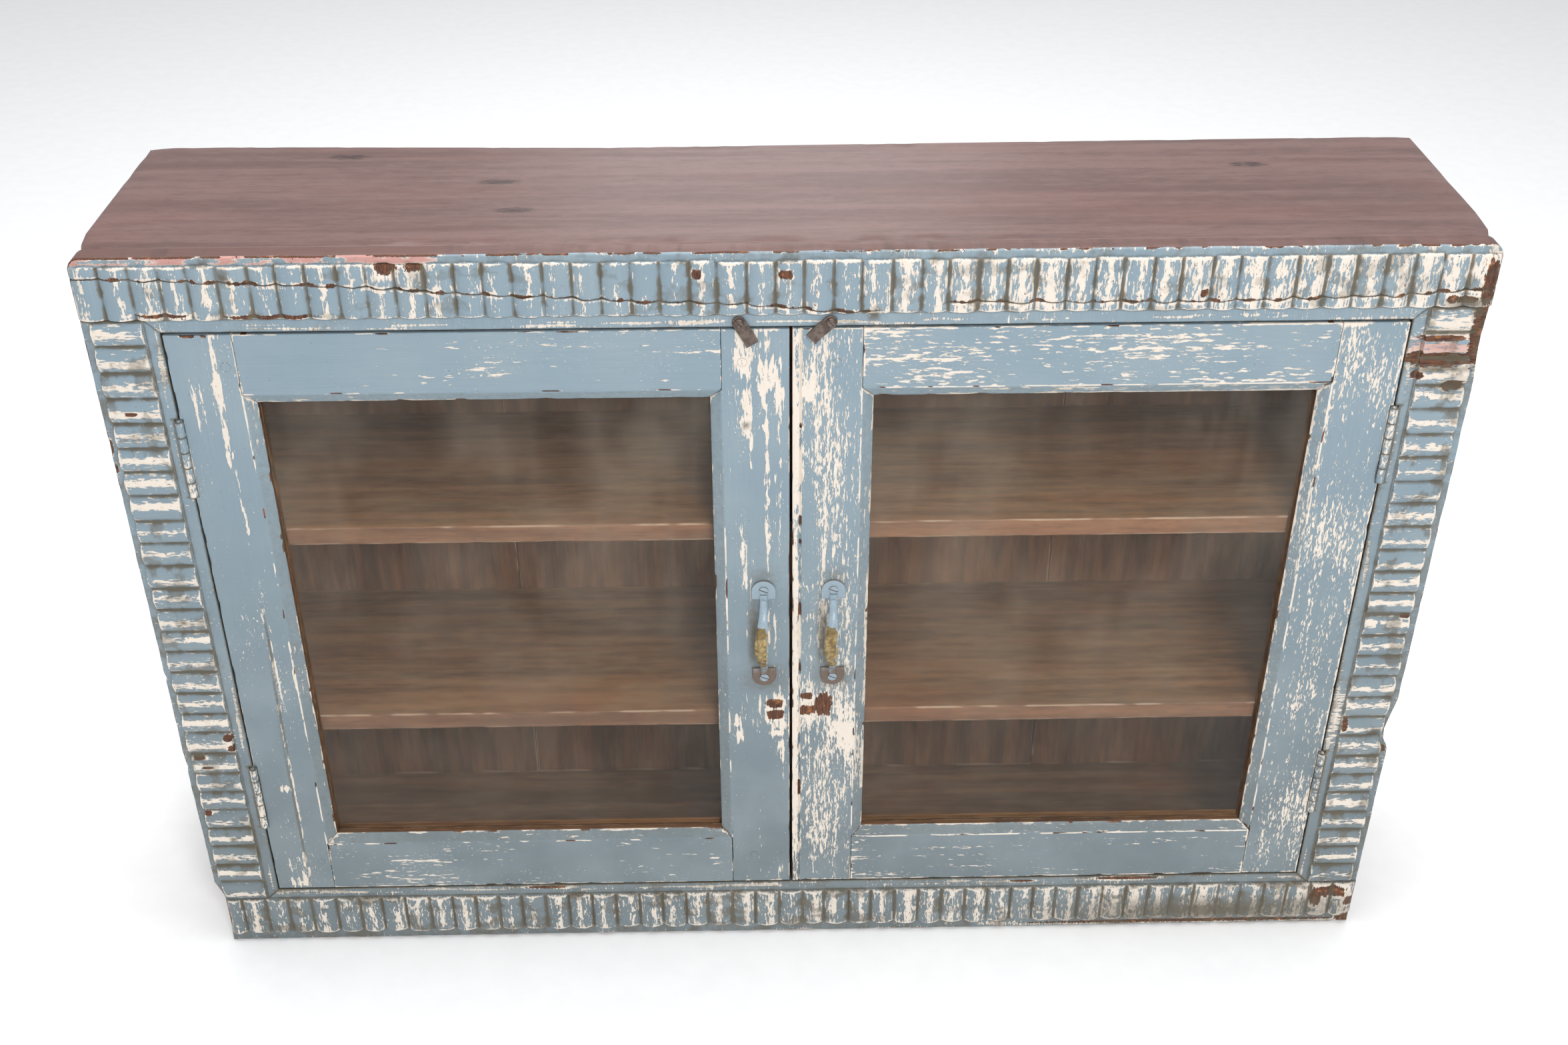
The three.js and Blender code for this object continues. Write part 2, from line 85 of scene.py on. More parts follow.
class Grain(Enum):
    """The axis that the wood of a piece runs along."""

    ACROSS = 0
    DEEP = 1
    UPRIGHT = 2

    def blotch(self, wide: float, long: float) -> Vector:
        """Sizes of a blotch that is long with the grain and narrow across it.

        Args:
            wide: size across the grain, in metres.
            long: size with the grain, in metres.

        Returns:
            The blotch's size along x, y and z.
        """
        size = Vector((wide, wide, wide))
        size[self.value] = long
        return size


class Slot(Enum):
    """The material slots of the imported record."""

    PAINT = "painted_wood"
    STAIN = "stained_wood"
    DRY = "bare_wood"
    GLASS = "glass"
    BRASS = "worn_brass"
    PAINTED_IRON = "painted_iron"
    DARK_IRON = "dark_iron"


class Layer(Enum):
    """What a mesh tells its finish about each point, as a named attribute."""

    WEAR = "wear"
    BARE = "bare"
    # Darkens a finish: dirt, and in places a painted shadow.
    GRIME = "grime"
    PINK = "pink"


class Side(Enum):
    """The two sides of the cabinet, by the sign of x."""

    LEFT = -1
    RIGHT = 1

    @property
    def word(self) -> str:
        """The side's name in node names."""
        return self.name.lower()


# ---------------------------------------------------------------- shader building


class ShaderTree:
    """A material's nodes, with short calls for the patterns that the finishes share."""

    def __init__(self, name: str) -> None:
        """Starts a material with one surface shader.

        Args:
            name: the material's name.
        """
        self.material = bpy.data.materials.new(name)
        self.material.use_nodes = True
        self.nodes = self.material.node_tree.nodes
        self.nodes.clear()
        self.output = self.nodes.new("ShaderNodeOutputMaterial")
        self.shader = self.nodes.new("ShaderNodeBsdfPrincipled")
        self.link(self.shader.outputs["BSDF"], self.output.inputs["Surface"])
        self.place = self.nodes.new("ShaderNodeTexCoord").outputs["Object"]

    def link(self, source: Socket, target: Socket) -> None:
        """Joins two sockets."""
        self.material.node_tree.links.new(source, target)

    def feed(self, value: Socket | Sequence[float] | float, target: Socket) -> None:
        """Gives a socket its value.

        Args:
            value: another socket, a colour or a number.
            target: the socket to set.
        """
        if isinstance(value, bpy.types.NodeSocket):
            self.link(value, target)
        elif isinstance(value, tuple):
            target.default_value = (*value, 1.0)
        else:
            target.default_value = value

    def set(self, **values: float | Sequence[float]) -> None:
        """Sets constant inputs of the surface shader, by names with _ for a space."""
        for name, value in values.items():
            self.feed(value, self.shader.inputs[name.replace("_", " ")])

    def noise(self, size: Vector, detail: float = 3.0, rough: float = 0.55, shift: float = 0.0) -> Socket:
        """Cloudy noise from 0 to 1 with blotches of a given size.

        Args:
            size: the size of a blotch along x, y and z, in metres.
            detail: how many finer layers it holds.
            rough: how strong the finer layers are.
            shift: moves the pattern, so that two of the same size differ.

        Returns:
            The noise value.
        """
        place = self.nodes.new("ShaderNodeMapping")
        place.inputs["Location"].default_value = (shift, shift * 1.7, shift * 2.3)
        place.inputs["Scale"].default_value = [1 / s for s in size]
        self.link(self.place, place.inputs["Vector"])
        noise = self.nodes.new("ShaderNodeTexNoise")
        noise.inputs["Scale"].default_value = 1.0
        noise.inputs["Detail"].default_value = detail
        noise.inputs["Roughness"].default_value = rough
        self.link(place.outputs["Vector"], noise.inputs["Vector"])
        return noise.outputs["Fac"]

    def clouds(self, size: float, detail: float = 3.0, shift: float = 0.0) -> Socket:
        """Noise whose blotches are as long as they are wide."""
        return self.noise(Vector((size, size, size)), detail, 0.55, shift)

    def math(self, operation: str, first: Socket | float, second: Socket | float = 0.0) -> Socket:
        """One arithmetic step on two values."""
        node = self.nodes.new("ShaderNodeMath")
        node.operation = operation
        self.feed(first, node.inputs[0])
        self.feed(second, node.inputs[1])
        return node.outputs[0]

    def total(self, *values: Socket | float) -> Socket:
        """The sum of several values."""
        result = values[0]
        for value in values[1:]:
            result = self.math("ADD", result, value)
        return result

    def swing(self, value: Socket, gain: float) -> Socket:
        """A noise value about its middle, times a gain."""
        return self.math("MULTIPLY", self.math("SUBTRACT", value, 0.5), gain)

    def span(self, value: Socket, low: float, high: float, start: float = 0.0, end: float = 1.0) -> Socket:
        """Eases a value from start at low to end at high.

        Args:
            value: what is read.
            low: where the change begins.
            high: where it is complete.
            start: the result below low.
            end: the result above high.

        Returns:
            The eased value.
        """
        node = self.nodes.new("ShaderNodeMapRange")
        node.interpolation_type = "SMOOTHSTEP"
        self.link(value, node.inputs["Value"])
        limits = {"From Min": low, "From Max": high, "To Min": start, "To Max": end}
        for name, limit in limits.items():
            node.inputs[name].default_value = limit
        return node.outputs["Result"]

    def step(self, value: Socket, middle: float, soft: float = 0.014) -> Socket:
        """A crisp edge: 0 below the middle and 1 above it."""
        return self.span(value, middle - soft / 2, middle + soft / 2)

    def mix(self, amount: Socket | float, first: Socket | Color, second: Socket | Color) -> Socket:
        """The first colour where the amount is 0 and the second where it is 1."""
        node = self.nodes.new("ShaderNodeMix")
        node.data_type = "RGBA"
        self.feed(amount, node.inputs[0])
        self.feed(first, node.inputs[6])
        self.feed(second, node.inputs[7])
        return node.outputs[2]

    def blend(self, amount: Socket, first: Socket, second: Socket) -> Socket:
        """The first shader where the amount is 0 and the second where it is 1."""
        node = self.nodes.new("ShaderNodeMixShader")
        for socket, target in zip((amount, first, second), node.inputs):
            self.link(socket, target)
        return node.outputs[0]

    def layer(self, layer: Layer) -> Socket:
        """The value of one of the mesh's own layers."""
        node = self.nodes.new("ShaderNodeAttribute")
        node.attribute_name = layer.value
        return node.outputs["Fac"]

    def height(self, axis: Grain = Grain.UPRIGHT) -> Socket:
        """The point's own x, y or z, in metres."""
        node = self.nodes.new("ShaderNodeSeparateXYZ")
        self.link(self.place, node.inputs[0])
        return node.outputs[axis.value]

    def relief(self, height: Socket, depth: float, strength: float = 0.8) -> None:
        """Raises the surface with a height value.

        Args:
            height: 0 in the hollows and 1 on the high parts.
            depth: the height of a high part, in metres.
            strength: how much of it the light sees.
        """
        bump = self.nodes.new("ShaderNodeBump")
        bump.inputs["Distance"].default_value = depth
        bump.inputs["Strength"].default_value = strength
        self.link(height, bump.inputs["Height"])
        self.link(bump.outputs["Normal"], self.shader.inputs["Normal"])


@dataclass(frozen=True)
class Finish:
    """A finish that pieces can wear. Its name is the material's name."""

    name: str

    def dress(self, tree: ShaderTree) -> None:
        """Builds the finish's nodes."""
        raise NotImplementedError

    def material(self) -> bpy.types.Material:
        """The finish's material, made on first use."""
        found = bpy.data.materials.get(self.name)
        if found is None:
            tree = ShaderTree(self.name)
            self.dress(tree)
            found = tree.material
        return found


# ---------------------------------------------------------------- finishes


@dataclass(frozen=True)
class Grained(Finish):
    """A finish whose pattern is drawn out along the wood. Its seed moves the pattern."""

    grain: Grain

    def fibres(
        self, tree: ShaderTree, wide: float, long: float, detail: float, rough: float, shift: float
    ) -> Socket:
        """Noise that is long with the grain.

        Args:
            tree: the nodes to add it to.
            wide: size of a blotch across the grain, in millimetres.
            long: size with the grain, in millimetres.
            detail: how many finer layers it holds.
            rough: how strong the finer layers are.
            shift: added to the seed, so that two of a finish's patterns differ.

        Returns:
            The noise value.
        """
        return tree.noise(self.grain.blotch(wide * MM, long * MM), detail, rough, self.seed + shift)


@dataclass(frozen=True)
class ChippedPaint(Grained):
    """Pale blue paint over a cream undercoat over brown wood, chipped along the grain.

    Attributes:
        cover: how well the topcoat holds: about 0.56 is heavily chipped and 0.74 is nearly whole.
        streaks: how strongly chips gather in long lines with the grain.
        patches: how strongly they gather in patches.
        flake: width and length of a usual chip, in metres.
        seed: moves the pattern.
        pits: how rare the deep pits in the chips are.
        topcoat: the blue near the top of the cabinet.
        topcoat_low: the blue near its underside.
        undercoat: the cream under the blue.
        primer: the pink that the PINK layer puts in place of the cream.
        wood: the bare wood.
        wood_dark: its darker figure.
        wood_fresh: its newest scars.
        dirt: the film that the GRIME layer lays over everything: grime, and beside each pull a painted
            shadow.
    """

    cover: float = 0.66
    streaks: float = 0.5
    patches: float = 0.6
    flake: tuple[float, float] = (3.0 * MM, 16.0 * MM)
    seed: float = 0.0
    pits: float = 0.74
    topcoat: Color = tint(135, 154, 165)
    topcoat_low: Color = tint(113, 124, 128)
    undercoat: Color = tint(228, 217, 204)
    primer: Color = tint(196, 148, 140)
    wood: Color = tint(116, 72, 48)
    wood_dark: Color = tint(58, 38, 30)
    wood_fresh: Color = tint(158, 102, 60)
    dirt: Color = tint(98, 90, 74)

    def chips(self, tree: ShaderTree) -> Socket:
        """Where the topcoat is missing, from 0 to 1."""
        wide, long = self.flake
        flakes = tree.noise(self.grain.blotch(wide, long), 5.0, 0.62, self.seed)
        lines = self.fibres(tree, 5, 150, 2.0, 0.5, 3)
        patches = self.fibres(tree, 38, 85, 3.0, 0.5, 7)
        wear = tree.math("MULTIPLY", tree.layer(Layer.WEAR), 0.42)
        level = tree.total(flakes, tree.swing(lines, self.streaks), tree.swing(patches, self.patches), wear)
        specks = self.fibres(tree, 1.3, 3.0, 2.0, 0.5, 11)
        speck_level = tree.total(specks, tree.swing(patches, 0.35), tree.math("MULTIPLY", wear, 0.3))
        return tree.math("MAXIMUM", tree.step(level, self.cover), tree.step(speck_level, 0.735))

    def bare_wood(self, tree: ShaderTree, chips: Socket) -> Socket:
        """Where the undercoat is missing too, from 0 to 1."""
        ragged = self.fibres(tree, 2.2, 7, 4.0, 0.6, 17)
        told = tree.step(tree.total(tree.layer(Layer.BARE), tree.swing(ragged, 0.7)), 0.5, 0.03)
        pits = tree.step(self.fibres(tree, 1.6, 4, 3.0, 0.5, 23), self.pits)
        return tree.math("MAXIMUM", told, tree.math("MULTIPLY", chips, pits))

    def dress(self, tree: ShaderTree) -> None:
        """Builds the three layers, their dirt with the painted shadows beside the pulls, and the thickness of
        the paint.
        """
        chips = self.chips(tree)
        bare = self.bare_wood(tree, chips)
        blue = tree.mix(tree.span(tree.height(), 0.05, 0.72), self.topcoat_low, self.topcoat)
        faded = tree.clouds(90 * MM, 3.0, self.seed + 31)
        blue = tree.mix(tree.span(faded, 0.35, 0.7, 0.0, 0.28), blue, tint(160, 172, 176))
        brushed = self.fibres(tree, 1.2, 60, 3.0, 0.6, 37)
        blue = tree.mix(tree.span(brushed, 0.35, 0.7, 0.0, 0.16), blue, tint(112, 132, 146))
        soiled = tree.clouds(7 * MM, 4.0, self.seed + 41)
        cream = tree.mix(tree.span(soiled, 0.5, 0.8, 0.0, 0.45), self.undercoat, tint(214, 196, 172))
        cream = tree.mix(tree.layer(Layer.PINK), cream, self.primer)
        figure = self.fibres(tree, 1.0, 14, 4.0, 0.6, 43)
        wood = tree.mix(tree.span(figure, 0.35, 0.65), self.wood_dark, self.wood)
        scars = tree.clouds(8 * MM, 3.0, self.seed + 53)
        wood = tree.mix(tree.span(scars, 0.57, 0.7), wood, self.wood_fresh)
        color = tree.mix(bare, tree.mix(chips, blue, cream), wood)
        drift = tree.clouds(5 * MM, 4.0, self.seed + 47)
        # The grime layer's film darkens the paint with dirt and, beside each pull, with a painted shadow of
        # its grip.
        film = tree.total(tree.layer(Layer.GRIME), tree.swing(drift, 0.5))
        color = tree.mix(tree.span(film, 0.2, 1.0, 0.0, 0.92), color, self.dirt)
        specks = tree.step(tree.clouds(2.4 * MM, 3.0, self.seed + 59), 0.74, 0.05)
        color = tree.mix(tree.math("MULTIPLY", specks, 0.6), color, self.wood_dark)
        tree.link(color, tree.shader.inputs["Base Color"])
        gone = tree.math("MAXIMUM", chips, bare)
        gloss = tree.total(tree.span(gone, 0.0, 1.0, 0.42, 0.72), tree.swing(brushed, 0.2))
        tree.link(gloss, tree.shader.inputs["Roughness"])
        tree.set(Specular_IOR_Level=0.42)
        surface = tree.total(
            tree.math("MULTIPLY", gone, -0.55),
            tree.math("MULTIPLY", bare, -0.6),
            tree.math("MULTIPLY", brushed, 0.3),
            tree.math("MULTIPLY", soiled, 0.25),
        )
        tree.relief(surface, 0.45 * MM, 0.75)


@dataclass(frozen=True)
class Timber(Grained):
    """Clear-finished or dry wood with long grain, pores and a few knots.

    Attributes:
        pale: the lighter wood.
        deep: the darker bands.
        pore: the open pores and the cracks.
        band: width and length of a band of colour, in metres.
        gloss: roughness on the smooth parts.
        dust: how much grey dust lies on it, from 0 to 1.
        knots: middles of the knots, in metres.
        seed: moves the pattern.
        arris: the lighter wood along its worn edges.
    """

    pale: Color
    deep: Color
    pore: Color = tint(44, 30, 26)
    band: tuple[float, float] = (16 * MM, 420 * MM)
    gloss: float = 0.5
    dust: float = 0.0
    knots: tuple[tuple[float, float, float], ...] = ()
    seed: float = 0.0
    arris: Color = tint(176, 150, 128)

    def knot(self, tree: ShaderTree, middle: tuple[float, float, float]) -> Socket:
        """How close a point is to a knot: 1 in its eye, and 0 away from it."""
        eye = self.grain.blotch(9 * MM, 26 * MM)
        place = tree.nodes.new("ShaderNodeMapping")
        place.inputs["Location"].default_value = [-m / s for m, s in zip(middle, eye)]
        place.inputs["Scale"].default_value = [1 / s for s in eye]
        tree.link(tree.place, place.inputs["Vector"])
        ball = tree.nodes.new("ShaderNodeTexGradient")
        ball.gradient_type = "SPHERICAL"
        tree.link(place.outputs["Vector"], ball.inputs["Vector"])
        ragged = tree.noise(self.grain.blotch(1.6 * MM, 9 * MM), 3.0, 0.6, middle[0] * 10)
        return tree.math("MULTIPLY", ball.outputs["Fac"], tree.span(ragged, 0.35, 0.6, 0.25, 1.0))

    def dress(self, tree: ShaderTree) -> None:
        """Builds the bands, the pores, the dust and the fine ridges of the grain."""
        wide, long = self.band
        bands = tree.noise(self.grain.blotch(wide, long), 5.0, 0.55, self.seed)
        fine = self.fibres(tree, 1.1, 55, 4.0, 0.6, 5)
        pores = self.fibres(tree, 0.5, 11, 2.0, 0.5, 9)
        mottle = self.fibres(tree, 7, 26, 4.0, 0.6, 23)
        figure = tree.total(bands, tree.swing(fine, 0.5), tree.swing(mottle, 0.5))
        color = tree.mix(tree.span(figure, 0.3, 0.72), self.deep, self.pale)
        warm = self.fibres(tree, 60, 260, 2.0, 0.5, 13)
        color = tree.mix(tree.span(warm, 0.45, 0.75, 0.0, 0.35), color, self.warmer())
        color = tree.mix(tree.span(pores, 0.6, 0.72, 0.0, 0.6), color, self.pore)
        for middle in self.knots:
            color = tree.mix(tree.span(self.knot(tree, middle), 0.05, 0.55, 0.0, 0.85), color, self.pore)
        if self.dust:
            drift = self.fibres(tree, 22, 70, 4.0, 0.6, 19)
            color = tree.mix(tree.span(drift, 0.35, 0.75, 0.0, self.dust), color, tint(158, 134, 104))
        color = tree.mix(tree.span(tree.layer(Layer.GRIME), 0.2, 1.0, 0.0, 0.85), color, self.pore)
        color = tree.mix(tree.span(tree.layer(Layer.WEAR), 0.2, 0.75, 0.0, 0.6), color, self.arris)
        tree.link(color, tree.shader.inputs["Base Color"])
        tree.link(tree.total(tree.swing(fine, 0.25), self.gloss), tree.shader.inputs["Roughness"])
        tree.set(Specular_IOR_Level=0.45)
        tree.relief(tree.total(fine, tree.math("MULTIPLY", pores, -0.6)), 0.14 * MM, 0.6)

    def warmer(self) -> Color:
        """The pale wood with a redder cast."""
        red, green, blue = self.pale
        return (min(1.0, red * 1.18), green * 0.94, blue * 0.86)


@dataclass(frozen=True)
class WindowGlass(Finish):
    """Old clear window glass under a thin uneven film: dust, and in broad folds a painted reflection of
    folded cloth.

    Attributes:
        film: share of the view that the thickest part of the film hides, before the height is counted in.
        seed: moves the pattern of the dust.
    """

    film: float = 0.05
    seed: float = 0.0

    def dress(self, tree: ShaderTree) -> None:
        """Builds the glass, lets lamps through it, and lays the film on it."""
        tree.set(Base_Color=(0.93, 0.95, 0.94), Roughness=0.0, IOR=1.45, Transmission_Weight=1.0)
        tree.set(Specular_Tint=(0.46, 0.4, 0.36))
        path = tree.nodes.new("ShaderNodeLightPath")
        clear = tree.nodes.new("ShaderNodeBsdfTransparent")
        clear.inputs["Color"].default_value = (0.93, 0.95, 0.94, 1.0)
        # A diffuse veil over the glass: dust, and in its folds a painted reflection.
        dust_and_reflection_veil = tree.nodes.new("ShaderNodeBsdfDiffuse")
        dust_and_reflection_veil.inputs["Color"].default_value = (0.56, 0.47, 0.37, 1.0)
        # The broad folds paint in a reflection of folded cloth; the finer wipes are dust.
        reflected_folds = tree.noise(Vector((0.11, 0.3, 0.19)), 3.0, 0.6, self.seed)
        wipes = tree.noise(Vector((0.02, 0.1, 0.24)), 2.0, 0.5, self.seed + 4)
        thick = tree.span(reflected_folds, 0.36, 0.72, 0.0, self.film)
        film = tree.total(thick, tree.span(wipes, 0.5, 0.8, 0.0, self.film / 3))
        amount = tree.math("MULTIPLY", film, tree.span(tree.height(), 0.1, 0.66, 0.4, 1.8))
        dusty = tree.blend(amount, tree.shader.outputs["BSDF"], dust_and_reflection_veil.outputs[0])
        lit = tree.blend(path.outputs["Is Shadow Ray"], dusty, clear.outputs[0])
        tree.link(lit, tree.output.inputs["Surface"])


@dataclass(frozen=True)
class WornMetal(Finish):
    """Old metal that still holds some paint, dirt and rust.

    Attributes:
        metal: the bare metal.
        tarnish: the darker metal in its hollows.
        paint: the paint that is left where the WEAR layer is low.
        painted: how much of it the paint covers, from 0 to 1.
        gloss: roughness of the bare metal.
        metallic: how much the bare metal mirrors like metal.
        seed: moves the pattern.
    """

    metal: Color
    tarnish: Color
    paint: Color = tint(136, 155, 168)
    painted: float = 0.0
    gloss: float = 0.34
    metallic: float = 0.9
    seed: float = 0.0

    def dress(self, tree: ShaderTree) -> None:
        """Builds the metal, its tarnish, the paint over it and the dirt on top."""
        mottle = tree.clouds(4.5 * MM, 4.0, self.seed)
        fine = tree.clouds(0.9 * MM, 4.0, self.seed + 3)
        patina = tree.span(tree.total(mottle, tree.swing(fine, 0.3)), 0.32, 0.68)
        metal = tree.mix(patina, self.metal, self.tarnish)
        rubbed = tree.math("MULTIPLY", tree.layer(Layer.WEAR), -1.0)
        hold = tree.total(tree.swing(mottle, 0.9), rubbed, self.painted)
        paint = tree.step(hold, 0.5, 0.05)
        coat = tree.mix(tree.span(fine, 0.4, 0.7, 0.0, 0.4), self.paint, tint(178, 186, 186))
        dirty = tree.total(tree.layer(Layer.GRIME), tree.swing(mottle, 0.6))
        color = tree.mix(paint, metal, coat)
        color = tree.mix(tree.span(dirty, 0.35, 0.75, 0.0, 0.9), color, tint(98, 72, 48))
        tree.link(color, tree.shader.inputs["Base Color"])
        bright = tree.span(dirty, 0.35, 0.75, self.metallic, 0.1)
        shine = tree.math("MULTIPLY", tree.math("SUBTRACT", 1.0, paint), bright)
        tree.link(shine, tree.shader.inputs["Metallic"])
        rough = tree.total(tree.span(patina, 0.0, 1.0, self.gloss, self.gloss + 0.2), tree.swing(fine, 0.2))
        tree.link(rough, tree.shader.inputs["Roughness"])
        tree.relief(tree.total(paint, tree.math("MULTIPLY", fine, 0.4), mottle), 0.14 * MM, 0.5)


@dataclass(frozen=True)
class StudioFloor(Finish):
    """Matt white paper, with the faintest tooth."""

    def dress(self, tree: ShaderTree) -> None:
        """Builds nearly white paper."""
        tooth = tree.clouds(30 * MM, 2.0)
        color = tree.mix(tree.span(tooth, 0.3, 0.7), (0.93, 0.93, 0.93), (0.95, 0.95, 0.95))
        tree.link(color, tree.shader.inputs["Base Color"])
        tree.set(Roughness=0.9, Specular_IOR_Level=0.1)


STAINED_TOP = Timber(
    "stained_top",
    Grain.ACROSS,
    pale=tint(115, 89, 84),
    deep=tint(94, 69, 65),
    arris=tint(104, 74, 66),
    gloss=0.34,
    knots=((-0.255, 0.035, 0.775), (-0.235, -0.03, 0.775), (-0.40, 0.098, 0.775), (0.42, 0.06, 0.775)),
)
STAINED_SIDE = Timber("stained_side", Grain.UPRIGHT, tint(122, 92, 85), tint(90, 62, 56), gloss=0.42)
DRY_ACROSS = Timber(
    "dry_shelf", Grain.ACROSS, pale=tint(124, 85, 53), deep=tint(82, 55, 33), gloss=0.72, dust=0.24, seed=4.0
)
DRY_UPRIGHT = Timber(
    "dry_plank", Grain.UPRIGHT, pale=tint(126, 82, 52), deep=tint(82, 52, 33), gloss=0.7, dust=0.18, seed=8.0
)
DRY_DEEP = Timber("dry_cleat", Grain.DEEP, tint(120, 92, 70), tint(76, 56, 44), gloss=0.7, seed=12.0)
SHELF_EDGE = Timber(
    "planed_edge", Grain.ACROSS, tint(134, 90, 62), tint(98, 63, 42), gloss=0.55, dust=0.1, seed=16.0
)
BEAD_WOOD = Timber(
    "bead_wood",
    Grain.ACROSS,
    pale=tint(120, 84, 52),
    deep=tint(70, 46, 30),
    gloss=0.6,
    seed=20.0,
    arris=tint(104, 74, 48),
)
REED_PAINT_UPRIGHT = ChippedPaint(
    "reed_paint_rail", Grain.UPRIGHT, 0.7, 0.25, 0.3, flake=(2.2 * MM, 9 * MM), seed=2.0, pits=0.685
)
REED_PAINT_ACROSS = ChippedPaint(
    "reed_paint_stile", Grain.ACROSS, 0.74, 0.25, 0.3, flake=(2.2 * MM, 10 * MM), seed=5.0, pits=0.7
)
IRON_PAINT = ChippedPaint("hinge_paint", Grain.UPRIGHT, 0.7, 0.3, flake=(2 * MM, 5 * MM), seed=9.0)
HANDLE_BRASS = WornMetal(
    "handle_brass", tint(172, 152, 108), tint(118, 98, 64), painted=1.0, gloss=0.22, metallic=0.75
)
WASHER_BRASS = WornMetal("washer_brass", metal=tint(158, 136, 92), tarnish=tint(92, 74, 48), painted=0.35)
GUNMETAL = WornMetal(
    "gunmetal", metal=tint(122, 108, 100), tarnish=tint(88, 76, 70), gloss=0.4, metallic=0.6, seed=6.0
)


# ---------------------------------------------------------------- wear


@dataclass(frozen=True)
class Weather:
    """Smooth seeded noise over a plane, for dents, waves and wear."""

    seed: int
    side: int = 256

    def smooth(self, u: np.ndarray, v: np.ndarray | float = 0.0) -> np.ndarray:
        """Noise from 0 to 1 that changes over about one unit.

        Args:
            u: places along the first direction.
            v: places along the second direction.

        Returns:
            The noise at each place.
        """
        table = np.random.default_rng(self.seed).random((self.side, self.side))
        u, v = np.broadcast_arrays(np.asarray(u, float), np.asarray(v, float))
        i, j = np.floor(u).astype(int), np.floor(v).astype(int)
        s, t = u - i, v - j
        s, t = s * s * (3 - 2 * s), t * t * (3 - 2 * t)
        i, j = i % self.side, j % self.side
        near = table[i, j] * (1 - s) + table[(i + 1) % self.side, j] * s
        far = table[i, (j + 1) % self.side] * (1 - s) + table[(i + 1) % self.side, (j + 1) % self.side] * s
        return near * (1 - t) + far * t

    def rough(self, u: np.ndarray, v: np.ndarray | float = 0.0, layers: int = 3) -> np.ndarray:
        """The same noise with finer layers added, still from 0 to 1."""
        total, weight = np.zeros(np.broadcast(u, v).shape), 0.0
        for k in range(layers):
            scale, share = 2.1**k, 0.55**k
            total += share * self.smooth(np.asarray(u) * scale + 17 * k, np.asarray(v) * scale + 31 * k)
            weight += share
        return total / weight


@dataclass(frozen=True)
class Spot:
    """A worn or dirty place on the front, or a painted shadow, in millimetres: its middle, width and height.

    Attributes:
        layer: what is worn or dirty there, or the painted shadow that darkens it.
        x: the middle, to the right.
        z: the middle, above the underside.
        wide: full width.
        tall: full height.
        sunk: how deep its middle is sunk into the wood.
        strength: the layer's value in its middle.
        roof: nothing is worn above this height.
    """

    layer: Layer
    x: float
    z: float
    wide: float
    tall: float
    sunk: float = 0.0
    strength: float = 1.0
    roof: float = 1000.0

    def amount(self, x: np.ndarray, z: np.ndarray) -> np.ndarray:
        """The layer's value at points in metres: half its strength at the spot's edge."""
        across = np.abs(x / MM - self.x) / self.wide
        along = np.abs(z / MM - self.z) / self.tall
        reach = (across**3 + along**3) ** (1 / 3)
        return self.strength * np.clip(1.0 - reach, 0.0, 1.0) * (z / MM < self.roof)


BARED = partial(Spot, Layer.BARE)
RUBBED = partial(Spot, Layer.WEAR)
# Spots that darken the finish: dirt, and beside the pulls a painted shadow of the grip.
SOILED_AND_SHADED = partial(Spot, Layer.GRIME)
PRIMED = partial(Spot, Layer.PINK)


def ease(value: np.ndarray, low: float, high: float) -> np.ndarray:
    """Rises smoothly from 0 at low to 1 at high."""
    share = np.clip((value - low) / (high - low), 0.0, 1.0)
    return share * share * (3 - 2 * share)


def near(value: np.ndarray, place: float | np.ndarray, reach: float) -> np.ndarray:
    """1 at a place, falling to almost 0 at twice the reach from it."""
    return np.exp(-(((value - place) / reach) ** 2))


# ---------------------------------------------------------------- mesh helpers


def coordinates(mesh: bmesh.types.BMesh) -> np.ndarray:
    """The places of a mesh's points, one row each."""
    return np.array([v.co for v in mesh.verts], float).reshape(-1, 3)


def move_to(mesh: bmesh.types.BMesh, places: np.ndarray) -> None:
    """Moves a mesh's points to new places."""
    for vert, place in zip(mesh.verts, places):
        vert.co = place


def set_layer(mesh: bmesh.types.BMesh, layer: Layer, values: np.ndarray | float) -> None:
    """Writes one layer's values, held between 0 and 1. A single value goes to every point."""
    found = mesh.verts.layers.float.get(layer.value) or mesh.verts.layers.float.new(layer.value)
    for vert, value in zip(mesh.verts, np.clip(np.broadcast_to(values, len(mesh.verts)), 0.0, 1.0)):
        vert[found] = float(value)


def points_in(parts: Sequence) -> list:
    """The points among an operator's results."""
    return [part for part in parts if isinstance(part, bmesh.types.BMVert)]


def pour(source: bmesh.types.BMesh, mesh: bmesh.types.BMesh) -> None:
    """Moves everything from one mesh into another, and frees the first."""
    scratch = bpy.data.meshes.new("scratch")
    source.to_mesh(scratch)
    source.free()
    mesh.from_mesh(scratch)
    bpy.data.meshes.remove(scratch)


def centre(node: str) -> tuple[float, ...]:
    """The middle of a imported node's box."""
    return tuple((low + high) / 2 for low, high in zip(*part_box(node)))


def slice_at(mesh: bmesh.types.BMesh, axis: int, places: Sequence[float]) -> None:
    """Cuts new edges round a mesh where it crosses planes, so that it can be bent there.

    Args:
        mesh: the mesh to cut.
        axis: 0, 1 or 2 for planes across x, y or z.
        places: where the planes are.
    """
    across = Vector((0, 0, 0))
    across[axis] = 1.0
    for place in places:
        everything = mesh.verts[:] + mesh.edges[:] + mesh.faces[:]
        bmesh.ops.bisect_plane(mesh, geom=everything, dist=1e-6, plane_co=across * place, plane_no=across)


